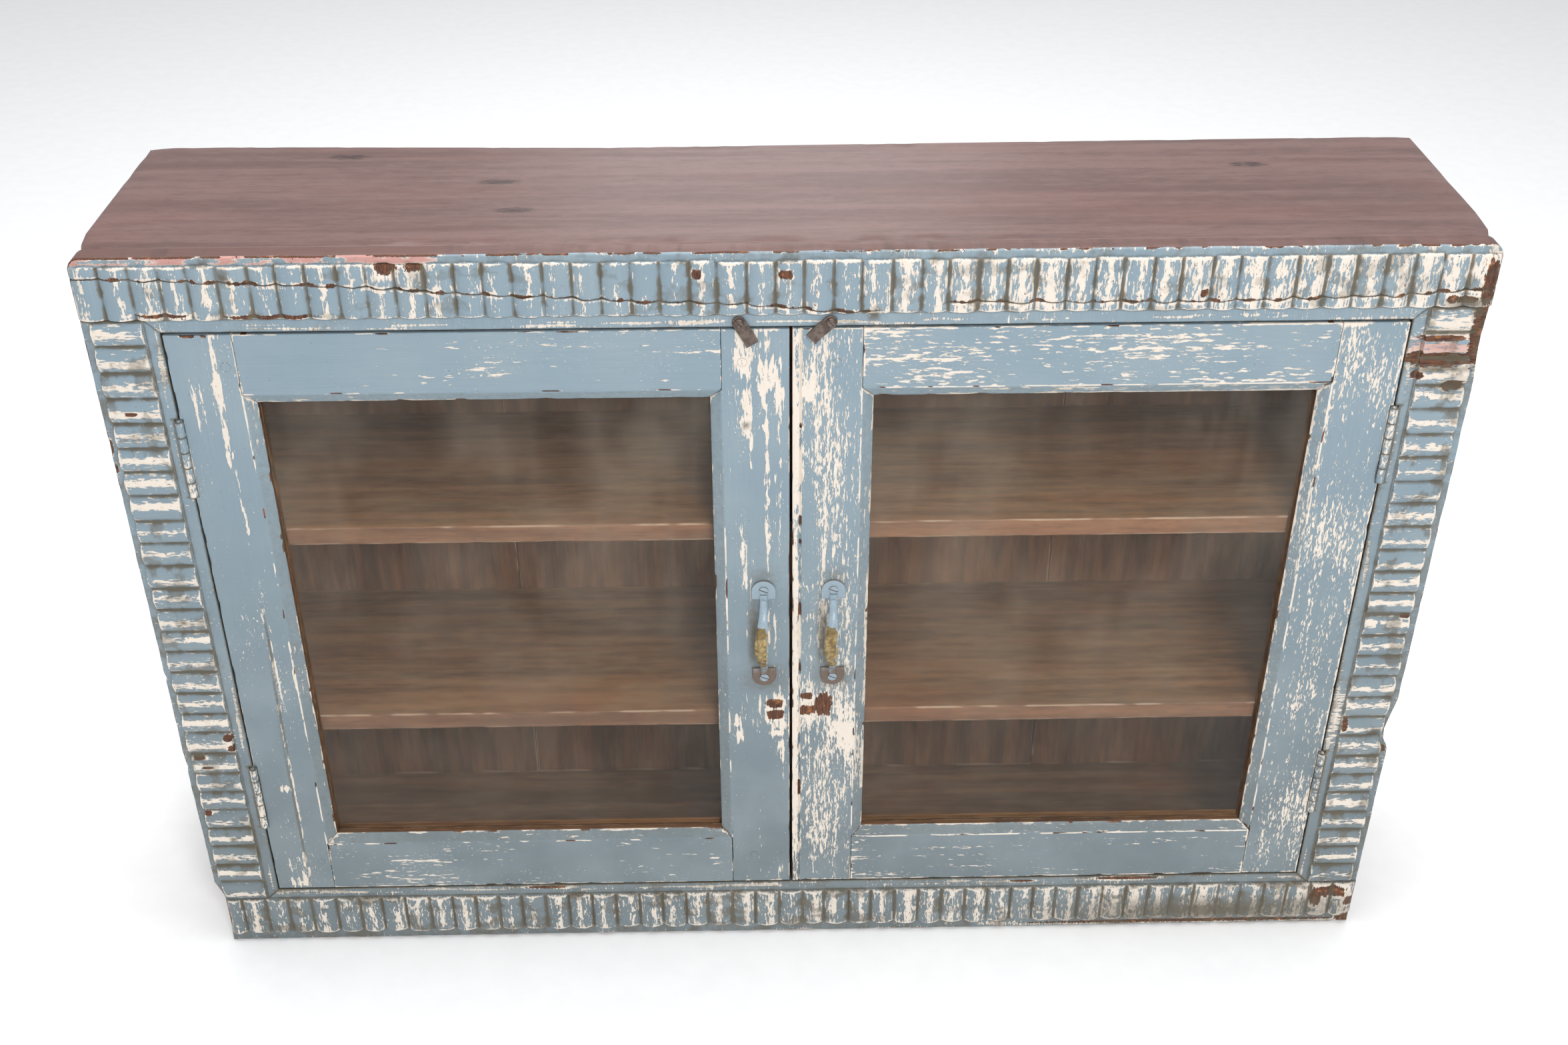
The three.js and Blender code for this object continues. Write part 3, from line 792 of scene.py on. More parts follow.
def soften_edges(mesh: bmesh.types.BMesh, width: float, shortest: float = 0.0) -> list:
    """Rounds a mesh's sharp edges.

    Args:
        mesh: the mesh to round.
        width: how far back from each edge the rounding begins.
        shortest: edges shorter than this stay sharp.

    Returns:
        The faces of the roundings.
    """
    sharp = [
        edge
        for edge in mesh.edges
        if len(edge.link_faces) == 2
        and edge.calc_face_angle(0.0) > SHARP_EDGE
        and edge.calc_length() >= shortest
    ]
    made = bmesh.ops.bevel(
        mesh,
        geom=sharp,
        offset=width,
        offset_type="OFFSET",
        segments=2,
        profile=0.5,
        affect="EDGES",
        clamp_overlap=shortest == 0.0,
        material=-1,
    )
    return made["faces"]


def merged_copy(node: str) -> bmesh.types.BMesh:
    """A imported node's mesh with its points merged and its flat faces whole."""
    mesh = bmesh.new()
    mesh.from_mesh(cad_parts[node].data)
    bmesh.ops.remove_doubles(mesh, verts=mesh.verts, dist=SAME_POINT)
    bmesh.ops.dissolve_limit(mesh, angle_limit=SAME_PLANE, verts=mesh.verts, edges=mesh.edges)
    return mesh


def lathe(mesh: bmesh.types.BMesh, profile: Sequence[tuple[float, float]], place: Matrix, steps: int) -> None:
    """Turns a profile into a closed round solid. Points that are in the mesh already carry a tag.

    Args:
        mesh: the mesh to add it to.
        profile: radius and height pairs, from the axis on one side to the axis on the other.
        place: where the solid's axis, its local z, goes.
        steps: sides of the round.
    """
    start = [mesh.verts.new((radius, 0.0, height)) for radius, height in profile]
    edges = [mesh.edges.new(pair) for pair in zip(start, start[1:])]
    bmesh.ops.spin(
        mesh,
        geom=start + edges,
        cent=(0, 0, 0),
        axis=(0, 0, 1),
        angle=2 * math.pi,
        steps=steps,
        use_merge=True,
    )
    loose = [v for v in mesh.verts if not v.tag]
    bmesh.ops.remove_doubles(mesh, verts=loose, dist=1e-6)
    loose = [v for v in mesh.verts if not v.tag]
    bmesh.ops.transform(mesh, matrix=place, verts=loose)
    faces = {face for vert in loose for face in vert.link_faces}
    bmesh.ops.recalc_face_normals(mesh, faces=list(faces))
    for vert in loose:
        vert.tag = True


def facing_front(x: float, y: float, z: float, turn: float = 0.0) -> Matrix:
    """A place on the front whose local z points forward, out of the cabinet."""
    return Matrix.Translation((x, y, z)) @ Euler((math.pi / 2, turn, 0)).to_matrix().to_4x4()


def slotted_head(
    mesh: bmesh.types.BMesh, radius: float, tall: float, slot: float, place: Matrix, dome: float = 0.35
) -> None:
    """Adds a domed screw head with a slot cut across it.

    Args:
        mesh: the mesh to add it to.
        radius: the head's radius.
        tall: its full height.
        slot: the slot's width.
        place: the head's underside; its local z points out.
        dome: share of the height that is rounded.
    """
    head = bmesh.new()
    rim = tall * (1 - dome)
    profile = [(0.0, 0.0), (radius, 0.0), (radius, rim)]
    turns = np.linspace(0.35, math.pi / 2, 4)
    profile += [(radius * math.cos(turn), rim + dome * tall * math.sin(turn)) for turn in turns]
    profile[-1] = (0.0, tall)
    lathe(head, profile, Matrix.Identity(4), 24)
    slice_at(head, 1, (-slot / 2, slot / 2))
    floor = [f for f in head.faces if f.normal.z > 0.3 and abs(f.calc_center_median().y) < slot / 2]
    pushed = bmesh.ops.extrude_face_region(head, geom=floor)["geom"]
    bmesh.ops.delete(head, geom=floor, context="FACES")
    bmesh.ops.translate(head, verts=points_in(pushed), vec=(0, 0, -0.45 * tall))
    bmesh.ops.recalc_face_normals(head, faces=head.faces)
    bmesh.ops.transform(head, matrix=place, verts=head.verts)
    pour(head, mesh)
    for vert in mesh.verts:
        vert.tag = True


def finish_piece(
    mesh: bmesh.types.BMesh,
    name: str,
    body: str,
    finishes: Sequence[Finish],
    replaced: Sequence[str] = (),
    sharp: float = 38.0,
) -> bpy.types.Object:
    """Turns a finished mesh into a piece of the cabinet.

    Args:
        mesh: the mesh, which is used up.
        name: the piece's name.
        body: the body that it moves with.
        finishes: its materials, by face index.
        replaced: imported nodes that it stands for.
        sharp: edges steeper than this many degrees are shaded sharp.

    Returns:
        The piece.
    """
    data = bpy.data.meshes.new(name)
    mesh.to_mesh(data)
    mesh.free()
    data.shade_smooth()
    data.set_sharp_from_angle(angle=math.radians(sharp))
    for finish in finishes:
        data.materials.append(finish.material())
    piece = bpy.data.objects.new(name, data)
    bpy.context.scene.collection.objects.link(piece)
    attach(piece, body)
    if replaced:
        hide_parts(*replaced)
    LOG.info("%s: %d faces, rides on %s", name, len(data.polygons), body)
    return piece


# ---------------------------------------------------------------- reeded face frame


@dataclass(frozen=True)
class ReedRow:
    """A row of convex reeds, cut side by side along a board.

    Attributes:
        start: where the row begins along the board.
        end: where it ends.
        count: how many reeds it has.
        seed: chooses how uneven they are.
        rise: height of a crest above the flat.
        root: height of the valleys above the flat.
        roundness: how far round its arc a reed reaches, where 1 is a half circle.
    """

    start: float
    end: float
    count: int
    seed: int
    rise: float = 5.0 * MM
    root: float = 0.3 * MM
    roundness: float = 0.74

    def across(self, u: np.ndarray) -> tuple[np.ndarray, np.ndarray]:
        """Finds the reed at each place along the board.

        Args:
            u: places along the board.

        Returns:
            The reed's number, and the place across it from -1 to 1.
        """
        rng = np.random.default_rng(self.seed)
        marks = np.linspace(self.start, self.end, self.count + 1)
        pitch = marks[1] - marks[0]
        marks[1:-1] += rng.uniform(-0.05, 0.05, self.count - 1) * pitch
        place = np.interp(u, marks, np.arange(self.count + 1))
        number = np.minimum(place.astype(int), self.count - 1)
        return number, 2 * (place - number) - 1

    def each(self, number: np.ndarray, low: float, high: float, draw: int) -> np.ndarray:
        """A random value for each reed, the same at all its points."""
        values = np.random.default_rng(self.seed + 100 * draw).uniform(low, high, self.count)
        return values[number]

    def height(self, u: np.ndarray) -> np.ndarray:
        """The reeds' height above the flat."""
        number, place = self.across(u)
        flat = math.sqrt(1 - self.roundness**2)
        arc = (np.sqrt(1 - (self.roundness * place) ** 2) - flat) / (1 - flat)
        return self.root + self.rise * arc * self.each(number, 0.86, 1.0, 1)


@dataclass
class ReededBoard:
    """One side of the face frame.

    u runs along the board. v runs from the opening's edge outwards: first a flat that is mitred
    with its neighbours, then the reeds, and last a flat margin.

    Attributes:
        node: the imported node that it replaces.
        runs: the axis of u.
        lip: where the opening's edge is, across the board.
        out: the sign of v.
        ends: lowest and highest u past the mitred flat.
        mitre: lowest and highest u at the opening's edge.
        flat: width of the mitred flat.
        reed_end: v where the reeds end.
        wide: the board's full width.
        row: its reeds.
        finish: its paint.
        crack: points (u, v, depth) of the long split across the reeds, in millimetres.
        spots: worn places.
        bites: (u, depth) points of what is missing from the outer edge, in millimetres.
        end_bites: (z, depth) points of what is missing from a rail's left end, in millimetres.
        heavy: how worn the reeds are along the board, from 0 to 1.
        pockets: middles of the hinges that are let into the opening's edge.
        pocket_half: half the length of a hinge's pocket.
        pocket_wide: how far a pocket reaches into the board's face.
        step: distance between the lines across the board.
        corner: radius of the board's outer corners.
        pink_until: u up to which the outer margin shows a pink primer.
        band: how broad and whole the worn bands on the crests are.
        soil: dirt all over.
        face: y of the mitred flat.
        crest: y of the highest crests.
        back: y of the board's back.
    """

    node: str
    runs: Grain
    lip: float
    out: int
    ends: tuple[float, float]
    mitre: tuple[float, float]
    flat: float
    reed_end: float
    wide: float
    row: ReedRow
    finish: Finish
    crack: Sequence[tuple[float, float, float]] = ()
    spots: Sequence[Spot] = ()
    bites: Sequence[tuple[float, float]] = ()
    end_bites: Sequence[tuple[float, float]] = ()
    heavy: Callable[[np.ndarray], np.ndarray] | None = None
    pockets: Sequence[float] = ()
    pocket_half: float = 39.4 * MM
    pocket_wide: float = 3.1 * MM
    corner: float = 0.0
    step: float = 1.35 * MM
    pink_until: float = -1.0
    band: float = 1.0
    soil: float = 0.0
    face: float = field(init=False)
    crest: float = field(init=False)
    back: float = field(init=False)

    def __post_init__(self) -> None:
        """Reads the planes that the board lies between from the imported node."""
        low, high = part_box(self.node)
        self.crest = low.y
        self.back = high.y
        self.face = low.y + 5.5 * MM
        self.weather = Weather(self.row.seed + 50)

    def crack_path(self, u: np.ndarray) -> tuple[np.ndarray, np.ndarray]:
        """The long split's v and its depth along the board."""
        if not self.crack:
            middle = (self.flat + self.reed_end) / 2
            return np.full(len(u), middle), np.zeros(len(u))
        points = np.array(self.crack, float) * MM
        wander = (self.weather.rough(u / (14 * MM), 5.0, 4) - 0.5) * 3.4 * MM
        path = np.interp(u, points[:, 0], points[:, 1]) + wander
        depth = np.interp(u, points[:, 0], points[:, 2])
        return np.clip(path, self.flat + 1.6 * MM, self.reed_end - 3 * MM), depth

    def reed_ends(self, u: np.ndarray) -> tuple[np.ndarray, np.ndarray]:
        """Where each reed's two cut ends are, in v."""
        number, place = self.row.across(u)
        ragged = (self.weather.rough(u / (2.5 * MM), 9.0, 3) - 0.5) * 0.9 * MM
        inner = self.flat + 0.5 * MM + self.row.each(number, 0.0, 0.7 * MM, 2) + 0.5 * ragged
        outer = self.reed_end - self.row.each(number, 0.0, 1.6 * MM, 3) + ragged
        return inner, outer - 0.5 * MM * place**2

    def flat_sheet(self) -> bmesh.types.BMesh:
        """A fine grid over the board's face, in u and v, with lines where its shape changes."""
        low, high = self.ends
        inner = np.arange(low + 3 * MM, high - 3 * MM, self.step)
        rim = np.array([0.0, 0.35, 0.8, 1.4, 2.1]) * MM
        lines = [low + rim, inner, high - rim[::-1]]
        for pocket in self.pockets:
            for edge in (pocket - self.pocket_half, pocket + self.pocket_half):
                lines.append(np.array([edge - 0.12 * MM, edge + 0.12 * MM]))
        u = np.sort(np.concatenate(lines))
        path, _ = self.crack_path(u)
        inner, outer = self.reed_ends(u)
        split = 0.7 * MM
        width = np.full(len(u), self.wide)
        pocket = np.full(len(u), self.pocket_wide)
        keys = [0 * u, pocket * 0.12, pocket, pocket + 0.2 * MM, np.full(len(u), self.flat)]
        keys += [inner, inner + 0.45 * MM, path - split, path, path + split]
        keys += [outer, outer + 0.5 * MM, width - 2.2 * MM, width - 1.2 * MM, width - 0.4 * MM, width]
        shares = [1, 2, 1, 6, 1, 1, 17, 1, 1, 17, 1, 3, 1, 1, 1]
        marks = np.concatenate([[0], np.cumsum(shares)])
        rows = np.arange(marks[-1] + 1)
        v = np.array([np.interp(rows, marks, [key[i] for key in keys]) for i in range(len(u))])
        mesh = bmesh.new()
        bmesh.ops.create_grid(mesh, x_segments=len(u) - 1, y_segments=len(rows) - 1, size=0.5)
        for vert in mesh.verts:
            i = round((vert.co.x + 0.5) * (len(u) - 1))
            j = round((vert.co.y + 0.5) * (len(rows) - 1))
            vert.co = (u[i], v[i, j], 0.0)
        return mesh

    def trim_mitres(self, mesh: bmesh.types.BMesh) -> None:
        """Cuts the flat's two ends to 45 degrees."""
        for inner, way in zip(self.mitre, (-1, 1)):
            flat = [f for f in mesh.faces if f.calc_center_median().y < self.flat]
            parts = {part for f in flat for part in (*f.verts, *f.edges)}
            normal = Vector((way, -1, 0)).normalized()
            point = Vector((inner, 0, 0))
            bmesh.ops.bisect_plane(mesh, geom=[*parts, *flat], dist=1e-6, plane_co=point, plane_no=normal)
            past = [
                f
                for f in mesh.faces
                if f.calc_center_median().y < self.flat and (f.calc_center_median() - point).dot(normal) > 0
            ]
            bmesh.ops.delete(mesh, geom=past, context="FACES")

    def edge_distance(self, u: np.ndarray, v: np.ndarray) -> tuple[np.ndarray, np.ndarray]:
        """How far each point is from the outer edges, and from the joints and the opening's edge."""
        low, high = self.ends
        outside = self.wide - v
        reach = np.minimum(v, self.flat)
        seams = np.minimum(u - (self.mitre[0] - reach), self.mitre[1] + reach - u)
        seams = np.where(v < self.flat, seams / math.sqrt(2), 1.0)
        closing = np.minimum(u - low, high - u)
        if self.runs is Grain.ACROSS:
            return np.minimum(outside, closing), np.minimum(v, seams)
        return outside, np.minimum(np.minimum(v, seams), closing)

    def front(self, u: np.ndarray, v: np.ndarray) -> tuple[np.ndarray, dict[Layer, np.ndarray]]:
        """Works out the board's relief and wear, with a painted highlight along the reeds' cut ends.

        Args:
            u: places along the board.
            v: places across it.

        Returns:
            The height above the flat at each place, and the value of each layer there.
        """
        x, z = self.world(u, v)
        noise = self.weather
        number, place = self.row.across(u)
        inner, outer = self.reed_ends(u)
        cut = ease(v, inner - 0.02 * MM, inner + 0.4 * MM) * (1 - ease(v, outer + 0.1 * MM, outer + 0.5 * MM))
        worn = noise.rough(u / (9 * MM), v / (30 * MM), 3)
        reed = self.row.height(u) * (1 - 0.12 * worn)
        crown = near(v, inner, 1.2 * MM) + near(v, outer, 1.2 * MM)
        height = cut * (reed - 0.35 * MM * crown * cut)
        height += (noise.rough(u / (22 * MM), v / (9 * MM), 3) - 0.5) * 0.35 * MM * cut
        height -= 0.5 * MM * near(v, self.flat + 0.15 * MM, 0.25 * MM)

        wander = (noise.rough(u / (9 * MM), v / (9 * MM) + 5) - 0.5) * 0.25
        crest_shift = self.row.each(number, -0.3, 0.3, 4) + wander
        strength = self.row.each(number, 0.55, 1.0, 5) * self.band
        broken = noise.rough(u / (7 * MM), v / (9 * MM), 3)
        crest = near(place, crest_shift, 0.16 + 0.11 * self.band) * strength
        crest = crest * ease(broken, 0.42 - 0.2 * self.band, 0.6 - 0.15 * self.band)
        rubbed = noise.rough(u / (20 * MM), v / (16 * MM) + 40)
        shoulders = near(np.abs(place), 0.84, 0.07) * ease(rubbed, 0.42, 0.62)
        # The reeds' cut ends are rubbed to cream along their edges: worn paint, with a painted highlight
        # along that edge.
        end_wear_and_highlight = near(v, outer - 0.3 * MM, 0.9 * MM) + 0.7 * near(v, inner + 0.5 * MM, 0.8 * MM)
        wear = cut * (0.62 * crest + 0.55 * shoulders) + 0.9 * cut * end_wear_and_highlight * ease(worn, 0.2, 0.5)
        if self.heavy is not None:
            wear += 0.42 * self.heavy(u) * (0.35 + 0.65 * cut) * (1 - near(np.abs(place), 1.0, 0.12))
        # The valleys between the reeds, the groove beside the flat and the foot of the reeds' outer ends are
        # drawn darker.
        valley = near(np.abs(place), 1.0, 0.16) * cut
        smudge = ease(noise.rough(u / (17 * MM), v / (13 * MM) + 60, 4), 0.5, 0.72)
        shut = near(v, self.flat, 0.9 * MM) + near(v, outer + 0.9 * MM, 0.7 * MM)
        grime = 1.15 * valley * (0.45 + 0.75 * noise.smooth(u / (30 * MM), v / (10 * MM)))
        grime += 0.6 * shut + 0.1 * (1 - cut) + 0.52 * smudge * (0.4 + 0.6 * cut)
        grime += 0.3 * ease(v, outer + 0.6 * MM, outer + 1.6 * MM) * ease(worn, 0.25, 0.6) + self.soil
        smear = near(v, 4 * MM, 3 * MM) * ease(noise.rough(u / (45 * MM), v / (2.2 * MM) + 130, 3), 0.5, 0.68)
        wear += 0.85 * smear
        grime += 0.3 * smear
        for pocket in self.pockets:
            past = np.abs(u - pocket) - self.pocket_half
            beside = np.abs(past) + np.clip(v - 6 * MM, 0, None)
            along = np.abs(v - self.pocket_wide - 0.8 * MM) + np.clip(past, 0, None)
            grime += 0.7 * near(np.minimum(beside, along), 0.0, 1.3 * MM)

        path, depth = self.crack_path(u)
        open_split = near(v, path, 0.55 * MM) * ease(depth, 0.0, 1.0 * MM)
        chipped = ease(noise.rough(u / (7 * MM), 3.0, 3), 0.42, 0.66) * ease(depth, 0.2 * MM, 1.2 * MM)
        lifted = near(v, path + 0.9 * MM, (0.5 + 2.0 * chipped) * MM) * ease(depth, 0.2 * MM, 0.9 * MM)
        depth = depth * ease(noise.rough(u / (13 * MM), 33.0, 3), 0.25, 0.6)
        height -= depth * near(v, path, 0.45 * MM) + 0.5 * MM * lifted * cut
        bare = 0.9 * open_split + 0.75 * lifted * chipped
        for way in (-1, 1):
            rimmed = ease(noise.rough(u / (5 * MM), 44.0 + way, 3), 0.3, 0.55)
            beside = near(v, path + way * 1.7 * MM, 0.9 * MM)
            wear += 0.75 * beside * ease(depth, 0.1 * MM, 0.8 * MM) * rimmed
        grime += 0.8 * open_split

        outside, joints = self.edge_distance(u, v)
        height -= self.rounding(outside, (1.0 + 1.6 * noise.rough(u / (16 * MM), v / (16 * MM))) * MM)
        height -= self.rounding(joints, 0.6 * MM)
        ragged = noise.rough(u / (11 * MM), v / (5 * MM) + 70, 3)
        bare = np.maximum(bare, ease(ragged, 0.45, 0.65) * near(outside, 0.0, 1.6 * MM) * 0.9)
        wear += 0.45 * near(outside, 0.0, 2.5 * MM) * ease(ragged, 0.35, 0.6)
        grime += 0.5 * near(joints, 0.0, 1.0 * MM)

        values = {Layer.WEAR: wear, Layer.BARE: bare, Layer.GRIME: grime, Layer.PINK: np.zeros(len(u))}
        if self.pink_until > -1.0:
            strip = ease(v, outer + 0.6 * MM, outer + 2.4 * MM)
            strip = strip * (1 - ease(u, self.pink_until, self.pink_until + 0.02))
            values[Layer.PINK] = strip * ease(noise.rough(u / (22 * MM), v / (5 * MM) + 11, 4), 0.36, 0.5)
            values[Layer.WEAR] += 1.3 * values[Layer.PINK]
            values[Layer.GRIME] *= 1 - 0.6 * values[Layer.PINK]
            arris = near(outside, 0.6 * MM, 0.9 * MM) * ease(noise.rough(u / (30 * MM), 90.0, 4), 0.36, 0.5)
            values[Layer.BARE] = np.maximum(values[Layer.BARE], 0.85 * arris * (1 - ease(u, -0.1, 0.3)))
        fibres = 1 + 1.1 * (noise.rough(x / (14 * MM), z / (1.6 * MM), 3) - 0.5)
        for spot in self.spots:
            amount = spot.amount(x, z)
            values[spot.layer] = np.maximum(values[spot.layer], amount)
            height -= spot.sunk * MM * ease(amount, 0.35, 0.75) * fibres
            if spot.layer is Layer.BARE:
                values[Layer.WEAR] += 0.5 * near(amount, 0.4, 0.12)
        return height, values

    @staticmethod
    def rounding(distance: np.ndarray, radius: np.ndarray | float) -> np.ndarray:
        """How far a rounded edge falls back at a distance from it."""
        share = 1 - np.clip(distance / radius, 0.0, 1.0)
        return radius * (1 - np.sqrt(1 - 0.98 * share**2))

    def world(self, u: np.ndarray, v: np.ndarray) -> tuple[np.ndarray, np.ndarray]:
        """The x and z of places on the board."""
        across = self.lip + self.out * v
        return (u, across) if self.runs is Grain.ACROSS else (across, u)

    def outline(self, u: np.ndarray, v: np.ndarray) -> tuple[np.ndarray, np.ndarray]:
        """Moves places near the outer edges in, where the wood is worn away or missing."""
        if self.bites:
            points = np.array(self.bites, float) * MM
            missing = np.interp(u, points[:, 0], points[:, 1])
            v = v - missing * ease(v, self.wide - 16 * MM, self.wide)
        ripple = (self.weather.rough(u / (24 * MM), 21.0, 3) - 0.35) * 1.1 * MM
        v = v - np.clip(ripple, 0, None) * ease(v, self.wide - 4 * MM, self.wide)
        if self.end_bites:
            points = np.array(self.end_bites, float) * MM
            missing = np.interp(self.world(u, v)[1], points[:, 0], points[:, 1])
            u = u + missing * (1 - ease(u, self.ends[0], self.ends[0] + 22 * MM))
        if self.corner:
            u, v = self.round_corners(u, v)
        return u, v

    def round_corners(self, u: np.ndarray, v: np.ndarray) -> tuple[np.ndarray, np.ndarray]:
        """Rounds the board's two outer corners."""
        along = (np.abs(u) - (self.ends[1] - self.corner)) / self.corner
        over = (v - (self.wide - self.corner)) / self.corner
        inside = (along > 0) & (over > 0)
        along, over = np.where(inside, along, 0.0), np.where(inside, over, 0.0)
        pull = np.maximum(along, over) / np.maximum(np.hypot(along, over), 1e-9)
        moved_u = np.sign(u) * (self.ends[1] - self.corner + along * pull * self.corner)
        moved_v = self.wide - self.corner + over * pull * self.corner
        return np.where(inside, moved_u, u), np.where(inside, moved_v, v)

    def sink_pockets(
        self, u: np.ndarray, v: np.ndarray, depth: np.ndarray
    ) -> tuple[np.ndarray, np.ndarray]:
        """Lowers the face and draws back the edge where the hinges are let in."""
        for pocket in self.pockets:
            inside = (np.abs(u - pocket) < self.pocket_half) & (v < self.pocket_wide + 0.1 * MM)
            depth = np.where(inside, self.face + 2.35 * MM, depth)
            v = np.where(inside & (v < 1.35 * MM), 1.35 * MM, v)
        return v, depth

    def build(self) -> bpy.types.Object:
        """Makes the board and puts it in place."""
        mesh = self.flat_sheet()
        self.trim_mitres(mesh)
        flat = coordinates(mesh)
        u, v = flat[:, 0], flat[:, 1]
        height, values = self.front(u, v)
        depth = np.maximum(self.face - height, self.crest)
        v_cut, depth = self.sink_pockets(u, v, depth)
        x, z = self.world(*self.outline(u, v_cut))
        move_to(mesh, np.stack([x, depth, z], axis=1))
        for layer, value in values.items():
            set_layer(mesh, layer, value)
        rim = [edge for edge in mesh.edges if len(edge.link_faces) == 1]
        walls = bmesh.ops.extrude_edge_only(mesh, edges=rim)["geom"]
        for vert in points_in(walls):
            vert.co.y = self.back
        far = [part for part in walls if isinstance(part, bmesh.types.BMEdge) and part.is_boundary]
        bmesh.ops.contextual_create(mesh, geom=far)
        bmesh.ops.recalc_face_normals(mesh, faces=mesh.faces)
        self.dress(mesh)
        finishes = (self.finish, STAINED_TOP, DRY_UPRIGHT)
        return finish_piece(mesh, f"{self.node}_carved", "cabinet", finishes, (self.node,))

    def dress(self, mesh: bmesh.types.BMesh) -> None:
        """Gives the top edge the top board's stain, and leaves the back of the board dry."""
        for face in mesh.faces:
            if face.normal.z > 0.75 and self.runs is Grain.ACROSS and self.out > 0:
                face.material_index = 1 if face.calc_center_median().y > self.face + 1.5 * MM else 0
            elif face.normal.y > 0.9:
                face.material_index = 2


@dataclass
class FaceFrame:
    """The reeded frame round the doors: two rails that run through, and two stiles between them.

    Attributes:
        flat: width of the mitred flat round the opening.
        seam: half the gap at the mitres.
        reed_margin: width of the flat margin outside the reeds.
        bottom_margin: the same on the bottom rail.
        rail_spots: worn places on the top rail.
        left_spots: worn places on the left stile.
        right_spots: worn places on the right stile.
        bottom_spots: worn places on the bottom rail.
    """

    flat: float = 11.5 * MM
    seam: float = 0.15 * MM
    reed_margin: float = 7.0 * MM
    bottom_margin: float = 12.0 * MM
    rail_spots: Sequence[Spot] = (
        BARED(-331, 767, 17, 15, 1.5, roof=768.2),
        BARED(-308, 767, 14, 11, 1.2, roof=768.2),
        RUBBED(-331, 762, 22, 18, roof=768.0, strength=0.7),
        RUBBED(-308, 763, 20, 16, roof=768.0, strength=0.7),
        BARED(345, 735, 7, 7, 0.6),
        BARED(554, 727, 9, 8, 0.8),
        BARED(-77, 757, 8, 9, 0.6),
        BARED(-4, 756, 12, 8, 0.5),
        SOILED_AND_SHADED(-465, 758, 12, 14, 0.5),
        BARED(-520, 724, 44, 3.5, 1.0),
        BARED(-430, 722, 78, 4, 1.2),
        BARED(583, 742, 12, 44, 1.0),
        SOILED_AND_SHADED(570, 723, 44, 10, 0.5),
        BARED(566, 726, 20, 6, 0.8),
        SOILED_AND_SHADED(520, 742, 60, 30, strength=0.5),
        SOILED_AND_SHADED(70, 717, 10, 12, 0.5),
        RUBBED(568, 752, 14, 16, 0.2),
    )
    left_spots: Sequence[Spot] = (
        BARED(-589, 598, 5, 14, 0.8),
        BARED(-589, 576, 5, 10, 0.8),
        BARED(-542, 274, 9, 7, 0.5),
        BARED(-541, 261, 6, 9, 0.5),
        BARED(-574, 250, 12, 5, 0.5),
        BARED(-567, 238, 10, 4, 0.4),
        SOILED_AND_SHADED(-559, 412, 8, 6, 0.6),
        SOILED_AND_SHADED(-558, 144, 8, 6, 0.6),
        BARED(-578, 178, 7, 5, 0.4),
        BARED(-563, 632, 10, 4, 0.5),
    )
    right_spots: Sequence[Spot] = (
        BARED(585, 694, 18, 62, 1.2),
        RUBBED(557, 702, 40, 20, 0.4),
        SOILED_AND_SHADED(540, 703, 7, 22, 0.3, 0.7),
        BARED(552, 690, 40, 5, 1.0),
        RUBBED(556, 682, 58, 12, 1.2),
        PRIMED(556, 682, 58, 12),
        BARED(553, 670, 60, 14, 1.8),
        SOILED_AND_SHADED(556, 661, 56, 6, 0.8),
        BARED(538, 655, 10, 7, 0.5),
        BARED(571, 645, 18, 9, 0.8),
        SOILED_AND_SHADED(573, 645, 30, 22, 0.3, 0.7),
        RUBBED(557, 652, 50, 30, strength=0.4),
        RUBBED(532, 275, 10, 62, 0.3),
        BARED(541, 271, 5, 16, 0.6),
        SOILED_AND_SHADED(572, 260, 15, 13, 1.4),
        BARED(585, 238, 6, 8, 0.5),
        BARED(576, 400, 9, 5, 0.5),
    )
    bottom_spots: Sequence[Spot] = (
        BARED(562, 47, 36, 15, 0.8),
        BARED(549, 38, 12, 20, 0.5),
        BARED(585, 34, 12, 12, 0.4),
        BARED(585, 8, 18, 16, 0.6),
        BARED(420, 5, 340, 5, 0.3),
        SOILED_AND_SHADED(440, 24, 330, 36, 0.2),
        BARED(350, 68, 60, 4, 0.4),
        BARED(-250, 68, 40, 4, 0.4),
        BARED(240, 66, 26, 3, 0.4),
    )

    def rail(self, where: str) -> ReededBoard:
        """The board above or below the doors.

        Args:
            where: top or bottom.

        Returns:
            The rail, not yet built.
        """
        top = where == "top"
        node = f"frame_{where}_rail"
        low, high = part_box(node)
        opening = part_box("door_left_hinge_stile")[0].x - 1.5 * MM
        out = 1 if top else -1
        lip = low.z if top else high.z
        edges = (low.x, high.x)
        row = ReedRow(low.x, high.x, 49, 11 if top else 23)
        split = [(-590, 51, 1.6), (-450, 45, 1.4), (-341, 40, 1.6), (-230, 32, 1.8), (-120, 25, 1.8)]
        split += [(-41, 23, 1.6), (28, 15, 1.4), (62, 13.5, 1.0), (92, 19, 0.0), (115, 21, 0.0)]
        split += [(138, 21.5, 1.0), (362, 20.5, 1.1), (511, 24, 1.3), (590, 29, 1.4)]
        return ReededBoard(
            node,
            Grain.ACROSS,
            lip,
            out,
            edges,
            (opening + self.seam, -opening - self.seam),
            self.flat + self.seam,
            high.z - low.z - (self.reed_margin if top else self.bottom_margin),
            high.z - low.z,
            row,
            REED_PAINT_UPRIGHT,
            crack=split if top else (),
            spots=self.rail_spots if top else self.bottom_spots,
            bites=() if top else ((-590, 0.0), (-300, 0.8), (200, 0.3), (400, 1.2), (590, 0.6)),
            end_bites=() if top else ((0, 6.5), (33, 9.0), (59, 8.5)),
            heavy=self.rail_wear if top else self.bottom_wear,
            corner=11 * MM if top else 0.0,
            pink_until=-0.3 if top else -1.0,
            soil=0.0 if top else 0.16,
        )

